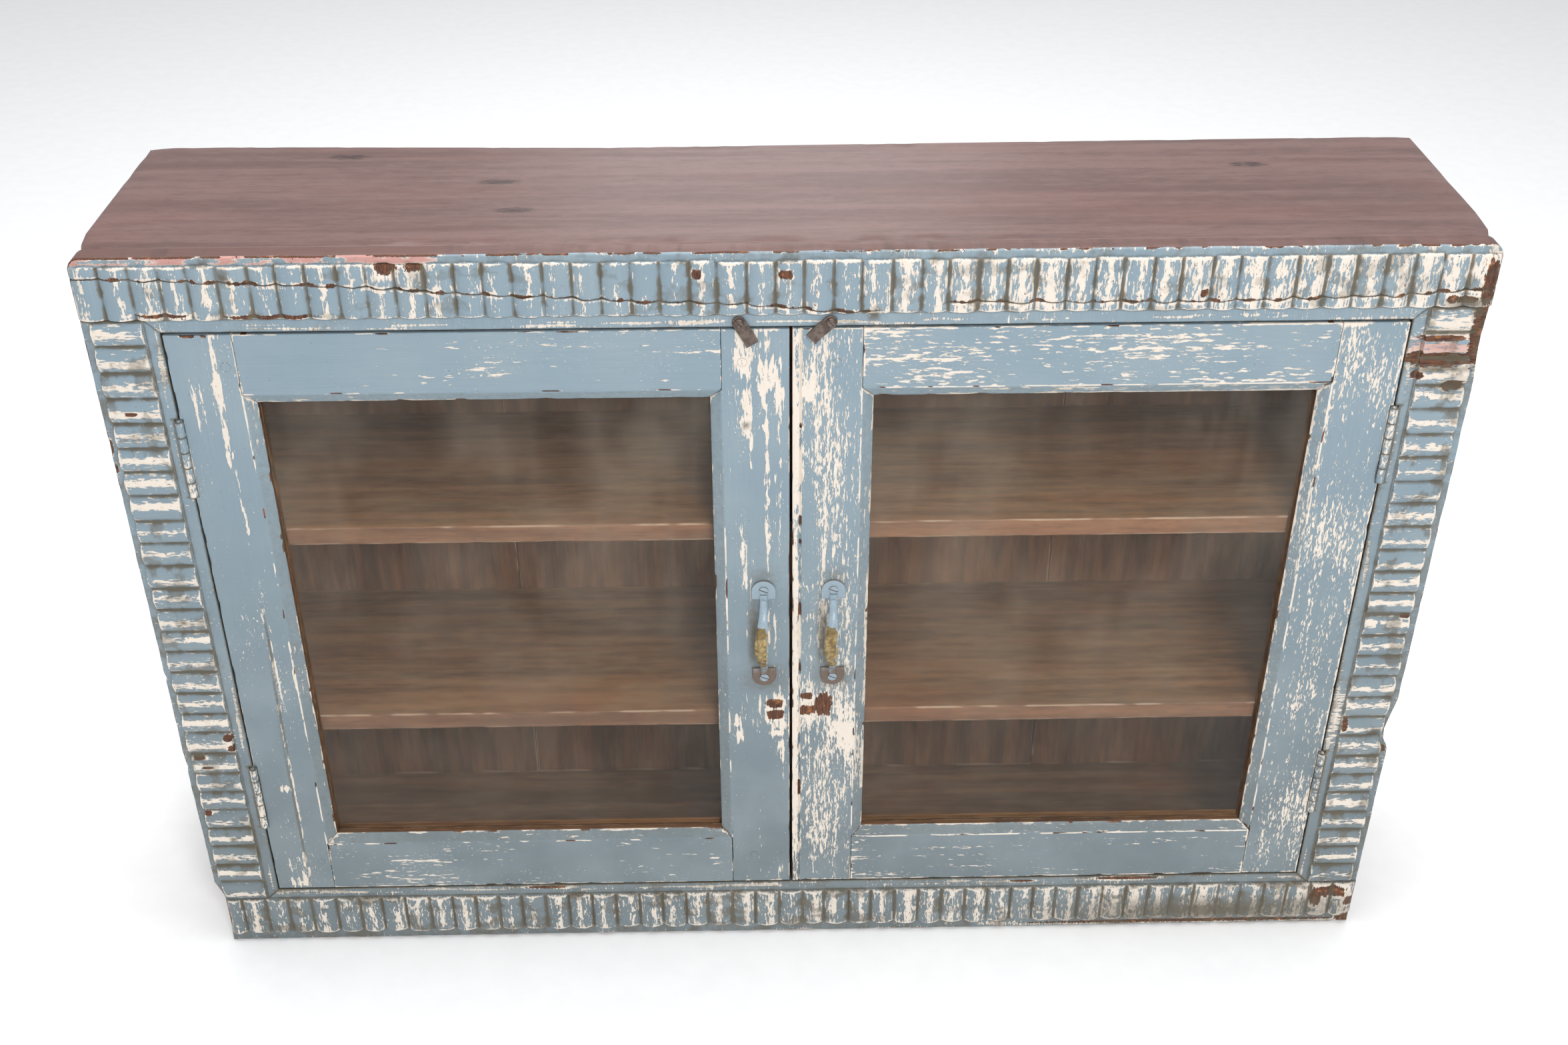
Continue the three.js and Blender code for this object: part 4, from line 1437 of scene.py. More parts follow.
    @staticmethod
    def rail_wear(u: np.ndarray) -> np.ndarray:
        """The top rail has lost most of its topcoat on the right."""
        return 0.2 + 0.6 * ease(u, 0.03, 0.14)

    @staticmethod
    def bottom_wear(u: np.ndarray) -> np.ndarray:
        """The bottom rail is evenly worn, a little more towards the right."""
        return 0.45 + 0.3 * ease(u, -0.3, 0.5)

    def stile(self, side: Side) -> ReededBoard:
        """The board beside the doors, on one side."""
        node = f"frame_stile_{side.word}"
        low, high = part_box(node)
        lip = low.x if side is Side.RIGHT else high.x
        row = ReedRow(low.z, high.z, 27, 31 if side is Side.LEFT else 47)
        hinges = [centre(f"hinge_{side.word}_{level}_pin")[2] for level in ("upper", "lower")]
        left_bites = ((59, 8.5), (70, 5.0), (82, 0.0), (230, 0.0), (236, 1.2), (243, 0.0))
        left_bites += ((340, 0.0), (346, 1.4), (352, 0.0))
        right_bites = ((60, 0.0), (236, 0.0), (241, 1.5), (249, 6.5), (262, 7.5), (284, 3.5))
        right_bites += ((300, 0.4), (640, 0.0), (664, 1.5), (690, 2.5), (718, 1.0))
        return ReededBoard(
            node,
            Grain.UPRIGHT,
            lip,
            side.value,
            (low.z, high.z),
            (low.z + self.flat, high.z - self.flat),
            self.flat + self.seam,
            high.x - low.x - self.reed_margin,
            high.x - low.x,
            row,
            REED_PAINT_ACROSS,
            spots=self.left_spots if side is Side.LEFT else self.right_spots,
            bites=left_bites if side is Side.LEFT else right_bites,
            heavy=self.left_wear if side is Side.LEFT else self.right_wear,
            pockets=hinges,
            band=1.5,
            soil=0.08 if side is Side.LEFT else 0.15,
        )

    @staticmethod
    def left_wear(u: np.ndarray) -> np.ndarray:
        """The left stile is most worn at the top."""
        return 0.2 + 0.25 * ease(u, 0.45, 0.68)

    @staticmethod
    def right_wear(u: np.ndarray) -> np.ndarray:
        """The right stile is worn from end to end."""
        return np.full(len(u), 0.3)

    def build(self) -> None:
        """Makes the two rails and the two stiles."""
        for where in ("top", "bottom"):
            self.rail(where).build()
        for side in Side:
            self.stile(side).build()


# ---------------------------------------------------------------- boards with worn edges


@dataclass
class WornBoard:
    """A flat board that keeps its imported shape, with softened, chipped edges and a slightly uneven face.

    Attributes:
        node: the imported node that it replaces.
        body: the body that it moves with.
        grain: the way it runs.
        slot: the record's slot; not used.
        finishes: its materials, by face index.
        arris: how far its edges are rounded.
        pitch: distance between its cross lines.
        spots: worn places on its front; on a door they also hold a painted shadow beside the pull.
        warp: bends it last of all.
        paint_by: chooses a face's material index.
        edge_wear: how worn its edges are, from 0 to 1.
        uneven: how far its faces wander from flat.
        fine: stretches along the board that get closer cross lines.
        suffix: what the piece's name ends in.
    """

    node: str
    body: str
    grain: Grain
    slot: Slot
    finishes: Sequence[Finish]
    arris: float = 0.7 * MM
    pitch: float = 9 * MM
    spots: Sequence[Spot] = ()
    warp: Callable[[np.ndarray], np.ndarray] | None = None
    paint_by: Callable[[bmesh.types.BMFace], int] | None = None
    edge_wear: float = 0.75
    uneven: float = 0.16 * MM
    fine: Sequence[tuple[float, float]] = ()
    suffix: str = "worn"

    def build(self) -> bpy.types.Object:
        """Makes the board."""
        mesh = merged_copy(self.node)
        tag = mesh.faces.layers.int.new("arris")
        low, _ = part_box(self.node)
        axis = self.grain.value
        lines = set()
        for face in soften_edges(mesh, self.arris, 14 * MM):
            face[tag] = 1
            lines.update(round(vert.co[2 - axis] / MM, 0) * MM for vert in face.verts if axis != 1)
        self.cut_lines(mesh, lines)
        tag = mesh.faces.layers.int["arris"]
        edges = np.array([float(any(face[tag] for face in v.link_faces)) for v in mesh.verts])
        places = coordinates(mesh)
        mesh.normal_update()
        normals = np.array([v.normal for v in mesh.verts])
        weather = Weather(sum(map(ord, self.node)))
        u = places[:, axis]
        v = places.sum(axis=1) - u
        wave = (weather.rough(u / (60 * MM), v / (25 * MM), 3) - 0.5) * self.uneven
        chip = edges * ease(weather.rough(u / (16 * MM), v / (12 * MM), 3), 0.55, 0.8) * 0.8 * MM
        moved = places + normals * (wave - self.uneven / 2 - chip)[:, None]
        wear = edges * self.edge_wear * ease(weather.rough(u / (22 * MM), v / (14 * MM) + 9, 3), 0.3, 0.62)
        bare = edges * ease(chip, 0.3 * MM, 0.7 * MM)
        values = {Layer.WEAR: wear, Layer.BARE: bare, Layer.GRIME: 0 * wear}
        front = places[:, 1] < low.y + 1.5 * MM
        for spot in self.spots:
            amount = spot.amount(places[:, 0], places[:, 2]) * front
            values[spot.layer] = np.maximum(values[spot.layer], amount)
            moved[:, 1] += spot.sunk * MM * ease(amount, 0.4, 0.7)
        self.add_wear(places, values)
        for layer, value in values.items():
            set_layer(mesh, layer, value)
        move_to(mesh, self.warp(moved) if self.warp else moved)
        mesh.faces.layers.int.remove(tag)
        if self.paint_by:
            for face in mesh.faces:
                face.material_index = self.paint_by(face)
        name = f"{self.node}_{self.suffix}"
        return finish_piece(mesh, name, self.body, self.finishes, (self.node,))

    def cut_lines(self, mesh: bmesh.types.BMesh, seams: set[float]) -> None:
        """Slices the board, so that its faces can wander and its worn places come out crisp.

        Args:
            mesh: the board.
            seams: where its long edges are, across the grain.
        """
        low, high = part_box(self.node)
        axis = self.grain.value
        rim, deep = 2.5 * MM, 60 * MM
        slice_at(mesh, axis, np.arange(low[axis] + self.pitch / 2, high[axis], self.pitch))
        for start, end in self.fine:
            slice_at(mesh, axis, np.arange(start, end, 2 * MM))
        if axis != 1:
            count = int((high.y - low.y) / (2 * self.pitch)) if high.y - low.y > deep else 0
            even = np.linspace(low.y, high.y, count + 2)[1:-1]
            slice_at(mesh, 1, self.spaced([low.y + rim, *even, high.y - rim], 1.0 * MM))
        for other in {0, 2} - {axis}:
            inset = [seam + way * rim for seam in sorted(seams) for way in (-1, 1)]
            count = max(1, int((high[other] - low[other]) / (2 * self.pitch)))
            even = np.linspace(low[other], high[other], count + 2)[1:-1]
            slice_at(mesh, other, self.spaced([*inset, *even, *self.spot_lines(other)], 1.0 * MM))
        slice_at(mesh, axis, self.spaced(self.spot_lines(axis), 1.6 * MM))

    def spot_lines(self, axis: int) -> list[float]:
        """Where the board needs lines so that the small worn places on it come out crisp."""
        low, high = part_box(self.node)
        shares, largest = (-0.9, -0.55, -0.25, 0.0, 0.25, 0.55, 0.9), 60
        lines = []
        for spot in self.spots:
            inside = low.x < spot.x * MM < high.x and low.z < spot.z * MM < high.z
            middle, size = (spot.x, spot.wide) if axis == 0 else (spot.z, spot.tall)
            if inside and size < largest:
                lines += [(middle + share * size) * MM for share in shares]
        return [line for line in lines if low[axis] < line < high[axis]]

    @staticmethod
    def spaced(lines: Sequence[float], gap: float) -> list[float]:
        """Sorts lines and drops those that are too close to the one before."""
        kept: list[float] = []
        for line in sorted(lines):
            if not kept or line - kept[-1] > gap:
                kept.append(line)
        return kept

    def add_wear(self, places: np.ndarray, values: dict[Layer, np.ndarray]) -> None:
        """Changes the layers for wear of a board's own. A plain board has none."""


@dataclass
class Carcass:
    """The stained top and sides, the dry inside boards, the shelves and what carries them.

    Attributes:
        rear_bow: how hollow the top board's rear edge is worn.
        corner_wear: how far its front corners are worn back.
    """

    rear_bow: float = 10 * MM
    corner_wear: float = 6 * MM

    def bow(self, places: np.ndarray) -> np.ndarray:
        """Wears the top board's rear edge hollow and its front corners round.

        Args:
            places: the board's points.

        Returns:
            Where they end up.
        """
        low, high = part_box("top_board")
        share = (places[:, 0] - low.x) / (high.x - low.x)
        hollow = np.interp(share, [0, 0.07, 0.36, 0.62, 1.0], [0.12, 0.0, 1.0, 0.55, 0.0]) * self.rear_bow
        places[:, 1] -= hollow * ease(places[:, 1], high.y - 0.06, high.y)
        front = 1 - ease(places[:, 1], low.y, low.y + 34 * MM)
        outer = ease(np.abs(places[:, 0]), high.x - 30 * MM, high.x)
        places[:, 0] -= np.sign(places[:, 0]) * self.corner_wear * front**2 * outer
        top = ease(places[:, 2], low.z, high.z)
        places[:, 2] -= 3.5 * MM * top * outer**3 * (0.35 + 0.65 * front)
        return places

    @staticmethod
    def shelf_faces(face: bmesh.types.BMFace) -> int:
        """The planed front edge has its own colour."""
        return 1 if face.normal.y < -0.5 else 0

    @staticmethod
    def tongues(planks: Sequence[str]) -> None:
        """Closes the joints between the back boards with the tongues that join them.

        Args:
            planks: the back boards, from left to right.
        """
        mesh = bmesh.new()
        wide, thick, short = 6 * MM, 3 * MM, 2 * MM
        for plank, after in zip(planks, planks[1:]):
            low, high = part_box(plank)
            seam = (high.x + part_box(after)[0].x) / 2
            strip = bmesh.ops.create_cube(mesh, size=1.0)["verts"]
            bmesh.ops.scale(mesh, verts=strip, vec=(wide, thick, high.z - low.z - short))
            bmesh.ops.translate(mesh, verts=strip, vec=(seam, (low.y + high.y) / 2, (low.z + high.z) / 2))
        soften_edges(mesh, 0.4 * MM)
        set_layer(mesh, Layer.GRIME, 0.6)
        finish_piece(mesh, "back_board_tongues", "cabinet", (DRY_UPRIGHT,))

    def build(self) -> None:
        """Makes every board of the carcass."""
        body = "cabinet"
        stained, dry = (STAINED_TOP,), (DRY_ACROSS, SHELF_EDGE)
        WornBoard("top_board", body, Grain.ACROSS, Slot.STAIN, stained, 1.6 * MM, warp=self.bow).build()
        for side in Side:
            node = f"side_board_{side.word}"
            WornBoard(node, body, Grain.UPRIGHT, Slot.STAIN, (STAINED_SIDE,), 1.2 * MM, 14 * MM).build()
        WornBoard("bottom_board", body, Grain.ACROSS, Slot.DRY, (DRY_ACROSS,), 0.9 * MM, 14 * MM).build()
        planks = sorted(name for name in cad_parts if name.startswith("back_board_"))
        self.tongues(planks)
        for node in planks:
            WornBoard(node, body, Grain.UPRIGHT, Slot.DRY, (DRY_UPRIGHT,), 1.0 * MM, 14 * MM).build()
        for level in ("upper", "lower"):
            shelf = WornBoard(f"shelf_{level}", body, Grain.ACROSS, Slot.DRY, dry, 0.9 * MM)
            shelf.paint_by = self.shelf_faces
            shelf.build()
            for side in Side:
                node = f"shelf_{level}_cleat_{side.word}"
                WornBoard(node, body, Grain.DEEP, Slot.DRY, (DRY_DEEP,), 0.8 * MM, 12 * MM).build()


@dataclass
class DoorBoard(WornBoard):
    """A stile or rail of a door: its bevel is greyer, and its back and part of its lip are dry wood.

    Attributes:
        sight: left, right, bottom and top of the door's clear opening.
        bevel: width of the bevel round the opening.
    """

    sight: tuple[float, float, float, float] = (0.0, 0.0, 0.0, 0.0)
    bevel: float = 10.5 * MM

    def add_wear(self, places: np.ndarray, values: dict[Layer, np.ndarray]) -> None:
        """Dirties the bevel and the joints.

        Args:
            places: the board's points.
            values: the layers, which are changed in place.
        """
        left, right, bottom, top = self.sight
        x, z = places[:, 0], places[:, 2]
        away = np.maximum(np.maximum(left - x, x - right), np.maximum(bottom - z, z - top))
        on_bevel = 1 - ease(away, self.bevel - 1.5 * MM, self.bevel)
        values[Layer.GRIME] = np.maximum(values[Layer.GRIME], 0.42 * on_bevel)
        front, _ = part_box(self.node)
        behind = ease(places[:, 1], front.y + 1.0 * MM, front.y + 3.0 * MM) * (1 - on_bevel)
        values[Layer.GRIME] = np.maximum(values[Layer.GRIME], 0.5 * behind)


@dataclass(frozen=True)
class DoorLook:
    """How one door is worn: a paint for each of its four boards, and its worn places, among them a painted
    shadow beside its pull.
    """

    paints: dict[str, ChippedPaint]
    spots: tuple[Spot, ...]
    glass_seed: float


def door_paints(side: str, boards: dict[str, Sequence[float]]) -> dict[str, ChippedPaint]:
    """Makes the paints of a door's boards.

    Args:
        side: the door's side.
        boards: cover, streaks, patches and seed of each board's paint, and width and length of a
            chip in millimetres.

    Returns:
        The paint of each board.
    """
    paints = {}
    for part, (cover, streaks, patches, seed, wide, long) in boards.items():
        grain = Grain.ACROSS if part.endswith("rail") else Grain.UPRIGHT
        flake = (wide * MM, long * MM)
        paints[part] = ChippedPaint(f"{side}_{part}_paint", grain, cover, streaks, patches, flake, seed)
    return paints


LEFT_LOOK = DoorLook(
    paints=door_paints(
        "left",
        {
            "hinge_stile": (0.755, 0.75, 0.5, 1.0, 3.0, 16.0),
            "meeting_stile": (0.745, 0.8, 0.55, 14.0, 3.0, 16.0),
            "top_rail": (0.75, 0.7, 0.5, 27.0, 3.0, 16.0),
            "bottom_rail": (0.7, 0.65, 0.5, 35.0, 3.0, 16.0),
        },
    ),
    spots=(
        RUBBED(-505, 640, 9, 46, strength=0.75),
        RUBBED(-489, 652, 7, 60, strength=0.75),
        RUBBED(-488, 596, 5, 60),
        RUBBED(-486, 520, 4, 130, strength=0.7),
        RUBBED(-486, 360, 3.5, 110, strength=0.65),
        SOILED_AND_SHADED(-486, 380, 2.4, 80, 0.5),
        SOILED_AND_SHADED(-489, 300, 2.4, 110, 0.5),
        SOILED_AND_SHADED(-492, 170, 2.4, 200, 0.5),
        RUBBED(-489, 200, 2.5, 110),
        RUBBED(-497, 206, 14, 10),
        RUBBED(-497, 92, 30, 40, strength=0.55),
        RUBBED(-502, 80, 20, 12, strength=0.9),
        RUBBED(-44, 674, 20, 30),
        RUBBED(-38, 690, 14, 34),
        RUBBED(-16, 656, 28, 34),
        RUBBED(-8, 640, 12, 40),
        RUBBED(-20, 560, 5, 300, strength=0.65),
        RUBBED(-43, 560, 4.5, 240, strength=0.65),
        RUBBED(-39, 610, 26, 84, strength=0.75),
        SOILED_AND_SHADED(-38, 612, 8, 8, strength=0.9),
        RUBBED(-10, 480, 10, 280, strength=0.45),
        BARED(-15, 304, 16, 11, 0.9),
        BARED(-14, 291, 17, 11, 0.9),
        RUBBED(-16, 297, 46, 34),
        SOILED_AND_SHADED(-24, 336, 42, 34, strength=0.75),
        SOILED_AND_SHADED(-25, 452, 32, 30, strength=0.6),
        # A painted shadow of the pull's grip: a dark strip just left of it.
        SOILED_AND_SHADED(-34, 386, 10, 88, strength=0.95),
        RUBBED(-51, 284, 7, 14),
        RUBBED(-50, 266, 7, 16),
        RUBBED(-14, 268, 12, 5),
        RUBBED(-300, 691, 120, 4, strength=0.5),
        RUBBED(-190, 690, 80, 4, strength=0.5),
    ),
    glass_seed=2.0,
)
RIGHT_LOOK = DoorLook(
    paints=door_paints(
        "right",
        {
            "hinge_stile": (0.59, 0.4, 0.35, 52.0, 1.7, 6.5),
            "meeting_stile": (0.625, 0.45, 0.4, 64.0, 1.5, 8.0),
            "top_rail": (0.61, 0.4, 0.45, 71.0, 2.6, 14.0),
            "bottom_rail": (0.65, 0.5, 0.45, 83.0, 1.9, 10.0),
        },
    ),
    spots=(
        BARED(16, 313, 12, 8, 0.8),
        BARED(17, 296, 16, 11, 0.8),
        BARED(32, 303, 15, 28, 0.9),
        RUBBED(24, 302, 46, 46, strength=0.6),
        RUBBED(50, 270, 20, 46, strength=0.8),
        RUBBED(34, 180, 50, 130, strength=0.2),
        RUBBED(24, 676, 50, 50, strength=0.35),
        RUBBED(18, 650, 13, 20, strength=0.85),
        RUBBED(26, 684, 26, 14, strength=0.5),
        RUBBED(38, 560, 26, 260, strength=0.4),
        RUBBED(3.5, 390, 7, 1400, strength=0.65),
        SOILED_AND_SHADED(40, 336, 42, 34, strength=0.75),
        SOILED_AND_SHADED(40, 452, 32, 30, strength=0.6),
        # A painted shadow of the pull's grip: a dark strip just left of it.
        SOILED_AND_SHADED(30.5, 386, 10, 88, strength=0.95),
    ),
    glass_seed=9.0,
)


@dataclass
class Door:
    """One glazed door: its four boards, glass, beads, pegs and pull.

    Attributes:
        side: the side it hangs on.
        look: how it is worn, with a painted shadow beside its pull.
        rebate: how far the glass reaches behind the boards.
        scar: the stretch of a meeting stile, in height, that the lost latch has marked.
        peg_aside: how far a stile's pegs are from its middle.
        peg_down: how far the upper pegs are below a stile's top.
        peg_up: how far the lower pegs are above its foot.
    """

    side: Side
    look: DoorLook
    rebate: float = 7.5 * MM
    scar: tuple[float, float] = (0.262, 0.322)
    peg_aside: dict[str, float] = field(
        default_factory=lambda: {"hinge_stile": -14 * MM, "meeting_stile": 4 * MM}
    )
    peg_down: float = 34 * MM
    peg_up: float = 37 * MM

    @property
    def body(self) -> str:
        """The body that the door moves with."""
        return f"door_{self.side.word}"

    @property
    def sight(self) -> tuple[float, float, float, float]:
        """Left, right, bottom and top of the clear opening."""
        low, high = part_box(f"{self.body}_glass")
        return (low.x + self.rebate, high.x - self.rebate, low.z + self.rebate, high.z - self.rebate)

    def faces(self, face: bmesh.types.BMFace) -> int:
        """Picks a board's finish by face: 1 is dry wood on the back and on the worn side of the lip."""
        if face.normal.y > 0.8:
            return 1
        left, right, bottom, _ = self.sight
        middle = face.calc_center_median()
        worn_x = left if self.side is Side.LEFT else right
        on_lip = abs(middle.x - worn_x) < 1.2 * MM or abs(middle.z - bottom) < 1.2 * MM
        return 1 if on_lip and abs(face.normal.y) < 0.3 else 0

    def board(self, part: str, paint: ChippedPaint) -> None:
        """Makes one board of the door.

        Args:
            part: the board's name within the door.
            paint: its paint, which says which way it runs.
        """
        DoorBoard(
            f"{self.body}_{part}",
            self.body,
            paint.grain,
            Slot.PAINT,
            (paint, BEAD_WOOD),
            0.55 * MM,
            5 * MM,
            spots=self.look.spots,
            paint_by=self.faces,
            uneven=0.2 * MM,
            fine=(self.scar,) if part == "meeting_stile" else (),
            suffix="painted",
            sight=self.sight,
        ).build()

    def pegs(self) -> None:
        """Adds the dowel ends that hold the corner joints."""
        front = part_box(f"{self.body}_top_rail")[0].y
        sunk = 1.0 * MM
        mesh = bmesh.new()
        rng = np.random.default_rng(5 + self.side.value)
        for stile, aside in self.peg_aside.items():
            low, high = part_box(f"{self.body}_{stile}")
            middle = (low.x + high.x) / 2 + self.side.value * aside
            for height in (high.z - self.peg_down, low.z + self.peg_up):
                radius = rng.uniform(3.6, 4.4) * MM
                profile = [(0, -sunk), (radius, -sunk), (radius, 0.1 * MM), (radius * 0.86, 0.32 * MM)]
                profile += [(radius * 0.5, 0.36 * MM), (0, 0.4 * MM)]
                x = middle + rng.uniform(-3, 3) * MM
                lathe(mesh, profile, facing_front(x, front, height + rng.uniform(-4, 4) * MM), 20)
        places = coordinates(mesh)
        rubbed = [spot for spot in self.look.spots if spot.layer is Layer.WEAR]
        wear = [spot.amount(places[:, 0], places[:, 2]) for spot in rubbed]
        set_layer(mesh, Layer.WEAR, np.maximum.reduce(wear))
        set_layer(mesh, Layer.GRIME, 0.85 * near(places[:, 1], front - 0.1 * MM, 0.12 * MM))
        inside = centre(f"{self.body}_top_rail")[0]
        for face in mesh.faces:
            on_hinge_side = (face.calc_center_median().x - inside) * self.side.value > 0
            face.material_index = 0 if on_hinge_side else 1
        finishes = [self.look.paints[stile] for stile in self.peg_aside]
        finish_piece(mesh, f"{self.body}_pegs", self.body, finishes)

    def build(self) -> None:
        """Makes the door's boards, beads, glass, pegs and pull."""
        for part, paint in self.look.paints.items():
            self.board(part, paint)
        for part in ("hinge_side", "meeting_side", "bottom", "top"):
            node = f"{self.body}_bead_{part}"
            grain = Grain.UPRIGHT if part.endswith("side") else Grain.ACROSS
            WornBoard(node, self.body, grain, Slot.DRY, (BEAD_WOOD,), 0.5 * MM, 20 * MM).build()
        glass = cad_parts[f"{self.body}_glass"]
        glass.data.materials.clear()
        glass.data.materials.append(WindowGlass(f"{self.body}_glass", seed=self.look.glass_seed).material())
        self.pegs()
        BowPull(self.side).build()


# ---------------------------------------------------------------- metalwork


@dataclass
class BowPull:
    """A bow handle: two half-round feet, and a flat bar that swells to a grip and arches forward.

    Attributes:
        side: the door's side.
        foot: thickness of a foot.
        foot_wide: its width.
        foot_tall: its height.
        neck: width of the bar at its ends.
        grip: its width in the middle.
        thick: its thickness.
        lean: how far aside the middle of the grip is, along x.
        tail: how far the bar's ends run into the feet.
        stations: how many rings the bar has.
        screw: radius of the screw heads.
    """

    side: Side
    foot: float = 2.0 * MM
    foot_wide: float = 22.5 * MM
    foot_tall: float = 20.0 * MM
    neck: float = 7.0 * MM
    grip: float = 12.5 * MM
    thick: float = 3.2 * MM
    lean: float = -2.4 * MM
    tail: float = 5.0 * MM
    stations: int = 40
    screw: float = 4.3 * MM

    @property
    def node(self) -> str:
        """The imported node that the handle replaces."""
        return f"door_{self.side.word}_pull"

    def add_foot(self, mesh: bmesh.types.BMesh, way: int) -> None:
        """Adds one foot: a rounded plate, flat towards the grip.

        Args:
            mesh: the mesh to add it to.
            way: 1 for the upper foot, -1 for the lower one.
        """
        low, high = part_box(self.node)
        plate = bmesh.new()
        radius = self.foot_wide / 2
        made = bmesh.ops.create_circle(plate, cap_ends=True, radius=radius, segments=48)
        below = [v for v in made["verts"] if v.co.y < 0]
        reach = self.foot_tall - radius
        for vert in below:
            vert.co.y = max(-reach, vert.co.y * 2.0)
            side = math.copysign(1.0, vert.co.x) if abs(vert.co.x) > 1e-5 else 0.0
            vert.co.x = side * min(radius, abs(vert.co.x) * 1.6) if vert.co.y > -reach else vert.co.x
        pushed = bmesh.ops.extrude_face_region(plate, geom=plate.faces[:])["geom"]
        bmesh.ops.translate(plate, verts=points_in(pushed), vec=(0, 0, self.foot))
        rim = [e for e in plate.edges if all(v.co.z > self.foot / 2 for v in e.verts)]
        bmesh.ops.bevel(
            plate,
            geom=rim,
            offset=0.8 * MM,
            segments=3,
            profile=0.5,
            affect="EDGES",
            clamp_overlap=True,
            material=-1,
        )
        bmesh.ops.recalc_face_normals(plate, faces=plate.faces)
        middle = high.z - radius if way > 0 else low.z + radius
        turn = 0.0 if way > 0 else math.pi
        place = facing_front(centre(self.node)[0], high.y, middle, turn)
        bmesh.ops.transform(plate, matrix=place, verts=plate.verts)
        pour(plate, mesh)

    def add_bar(self, mesh: bmesh.types.BMesh) -> None:
        """Adds the arched bar, an oval section carried along its bow."""
        low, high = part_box(self.node)
        x, _, z = centre(self.node)
        neck = (high.z - low.z) / 2 - self.foot_tall
        rise = high.y - self.foot - low.y
        radius = (neck**2 / rise + rise) / 2
        inner = radius - self.thick / 2
        ring = bmesh.ops.create_circle(mesh, cap_ends=False, radius=1.0, segments=20)["verts"]
        shape = [v.co.copy() for v in ring]
        edges = list({edge for vert in ring for edge in vert.link_edges})
        first = edges
        for k, height in enumerate(np.linspace(-neck - self.tail, neck + self.tail, self.stations)):
            if k:
                made = bmesh.ops.extrude_edge_only(mesh, edges=edges)["geom"]
                ring = points_in(made)
                new_edges = [part for part in made if isinstance(part, bmesh.types.BMEdge)]
                edges = [edge for edge in new_edges if all(vert in ring for vert in edge.verts)]
            swell = math.cos(math.pi / 2 * min(1.0, abs(height) / neck)) ** 2
            half = (self.neck + (self.grip - self.neck) * swell) / 2
            thick = self.thick / 2 * (1 - 0.25 * swell)
            if abs(height) > neck:
                angle = math.copysign(math.pi / 6, height)
                middle = high.y - self.foot - 0.4 * MM
            else:
                angle = math.asin(height / inner)
                middle = low.y + radius - math.sqrt(inner**2 - height**2)
            for vert, corner in zip(ring, shape):
                bulge = corner.y * thick * (1.0 if corner.y > 0 else 0.6)
                across = x + self.lean * swell + corner.x * half
                up = z + height + bulge * math.sin(angle)
                vert.co = (across, middle - bulge * math.cos(angle), up)
        for end in (first, edges):
            bmesh.ops.contextual_create(mesh, geom=end)

    def build(self) -> None:
        """Makes the handle and its two screws."""
        mesh = bmesh.new()
        self.add_bar(mesh)
        for way in (1, -1):
            self.add_foot(mesh, way)
        bmesh.ops.recalc_face_normals(mesh, faces=mesh.faces)
        low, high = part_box(self.node)
        places = coordinates(mesh)
        share = (places[:, 2] - low.z) / (high.z - low.z)
        worn = ease(share, 0.2, 0.3) * (1 - ease(share, 0.62, 0.72))
        aside = places[:, 0] - (low.x + high.x) / 2
        worn *= 1 - 0.5 * ease(aside - self.lean, 2.6 * MM, 4.6 * MM)
        behind = ease(places[:, 1], low.y + 4 * MM, high.y) * (1 - ease(share, 0.75, 0.8))
        set_layer(mesh, Layer.WEAR, worn)
        rim = ease(places[:, 1], high.y - 1.9 * MM, high.y - 0.7 * MM)
        rusty = (1 - ease(share, 0.05, 0.2)) * (0.3 + 0.3 * ease(aside, -2 * MM, 5 * MM))
        set_layer(mesh, Layer.GRIME, 0.26 + 0.3 * behind + rusty + 0.62 * rim)
        door, brass = f"door_{self.side.word}", (HANDLE_BRASS,)
        finish_piece(mesh, f"{self.node}_cast", door, brass, (self.node,), 50)
        for where in ("upper", "lower"):
            node = f"{self.node}_screw_{where}"
            x, _, z = centre(node)
            head = bmesh.new()
            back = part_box(node)[0].y + 1.2 * MM
            place = facing_front(x, back + 0.3 * MM, z, 0.4)
            slotted_head(head, self.screw, 1.45 * MM, 1.0 * MM, place)
            depth = coordinates(head)[:, 1] - (back - 1.15 * MM)
            set_layer(head, Layer.GRIME, 0.3 + 0.5 * ease(depth, 0.2 * MM, 0.8 * MM))
            finish_piece(head, f"{node}_turned", door, brass, (node,))


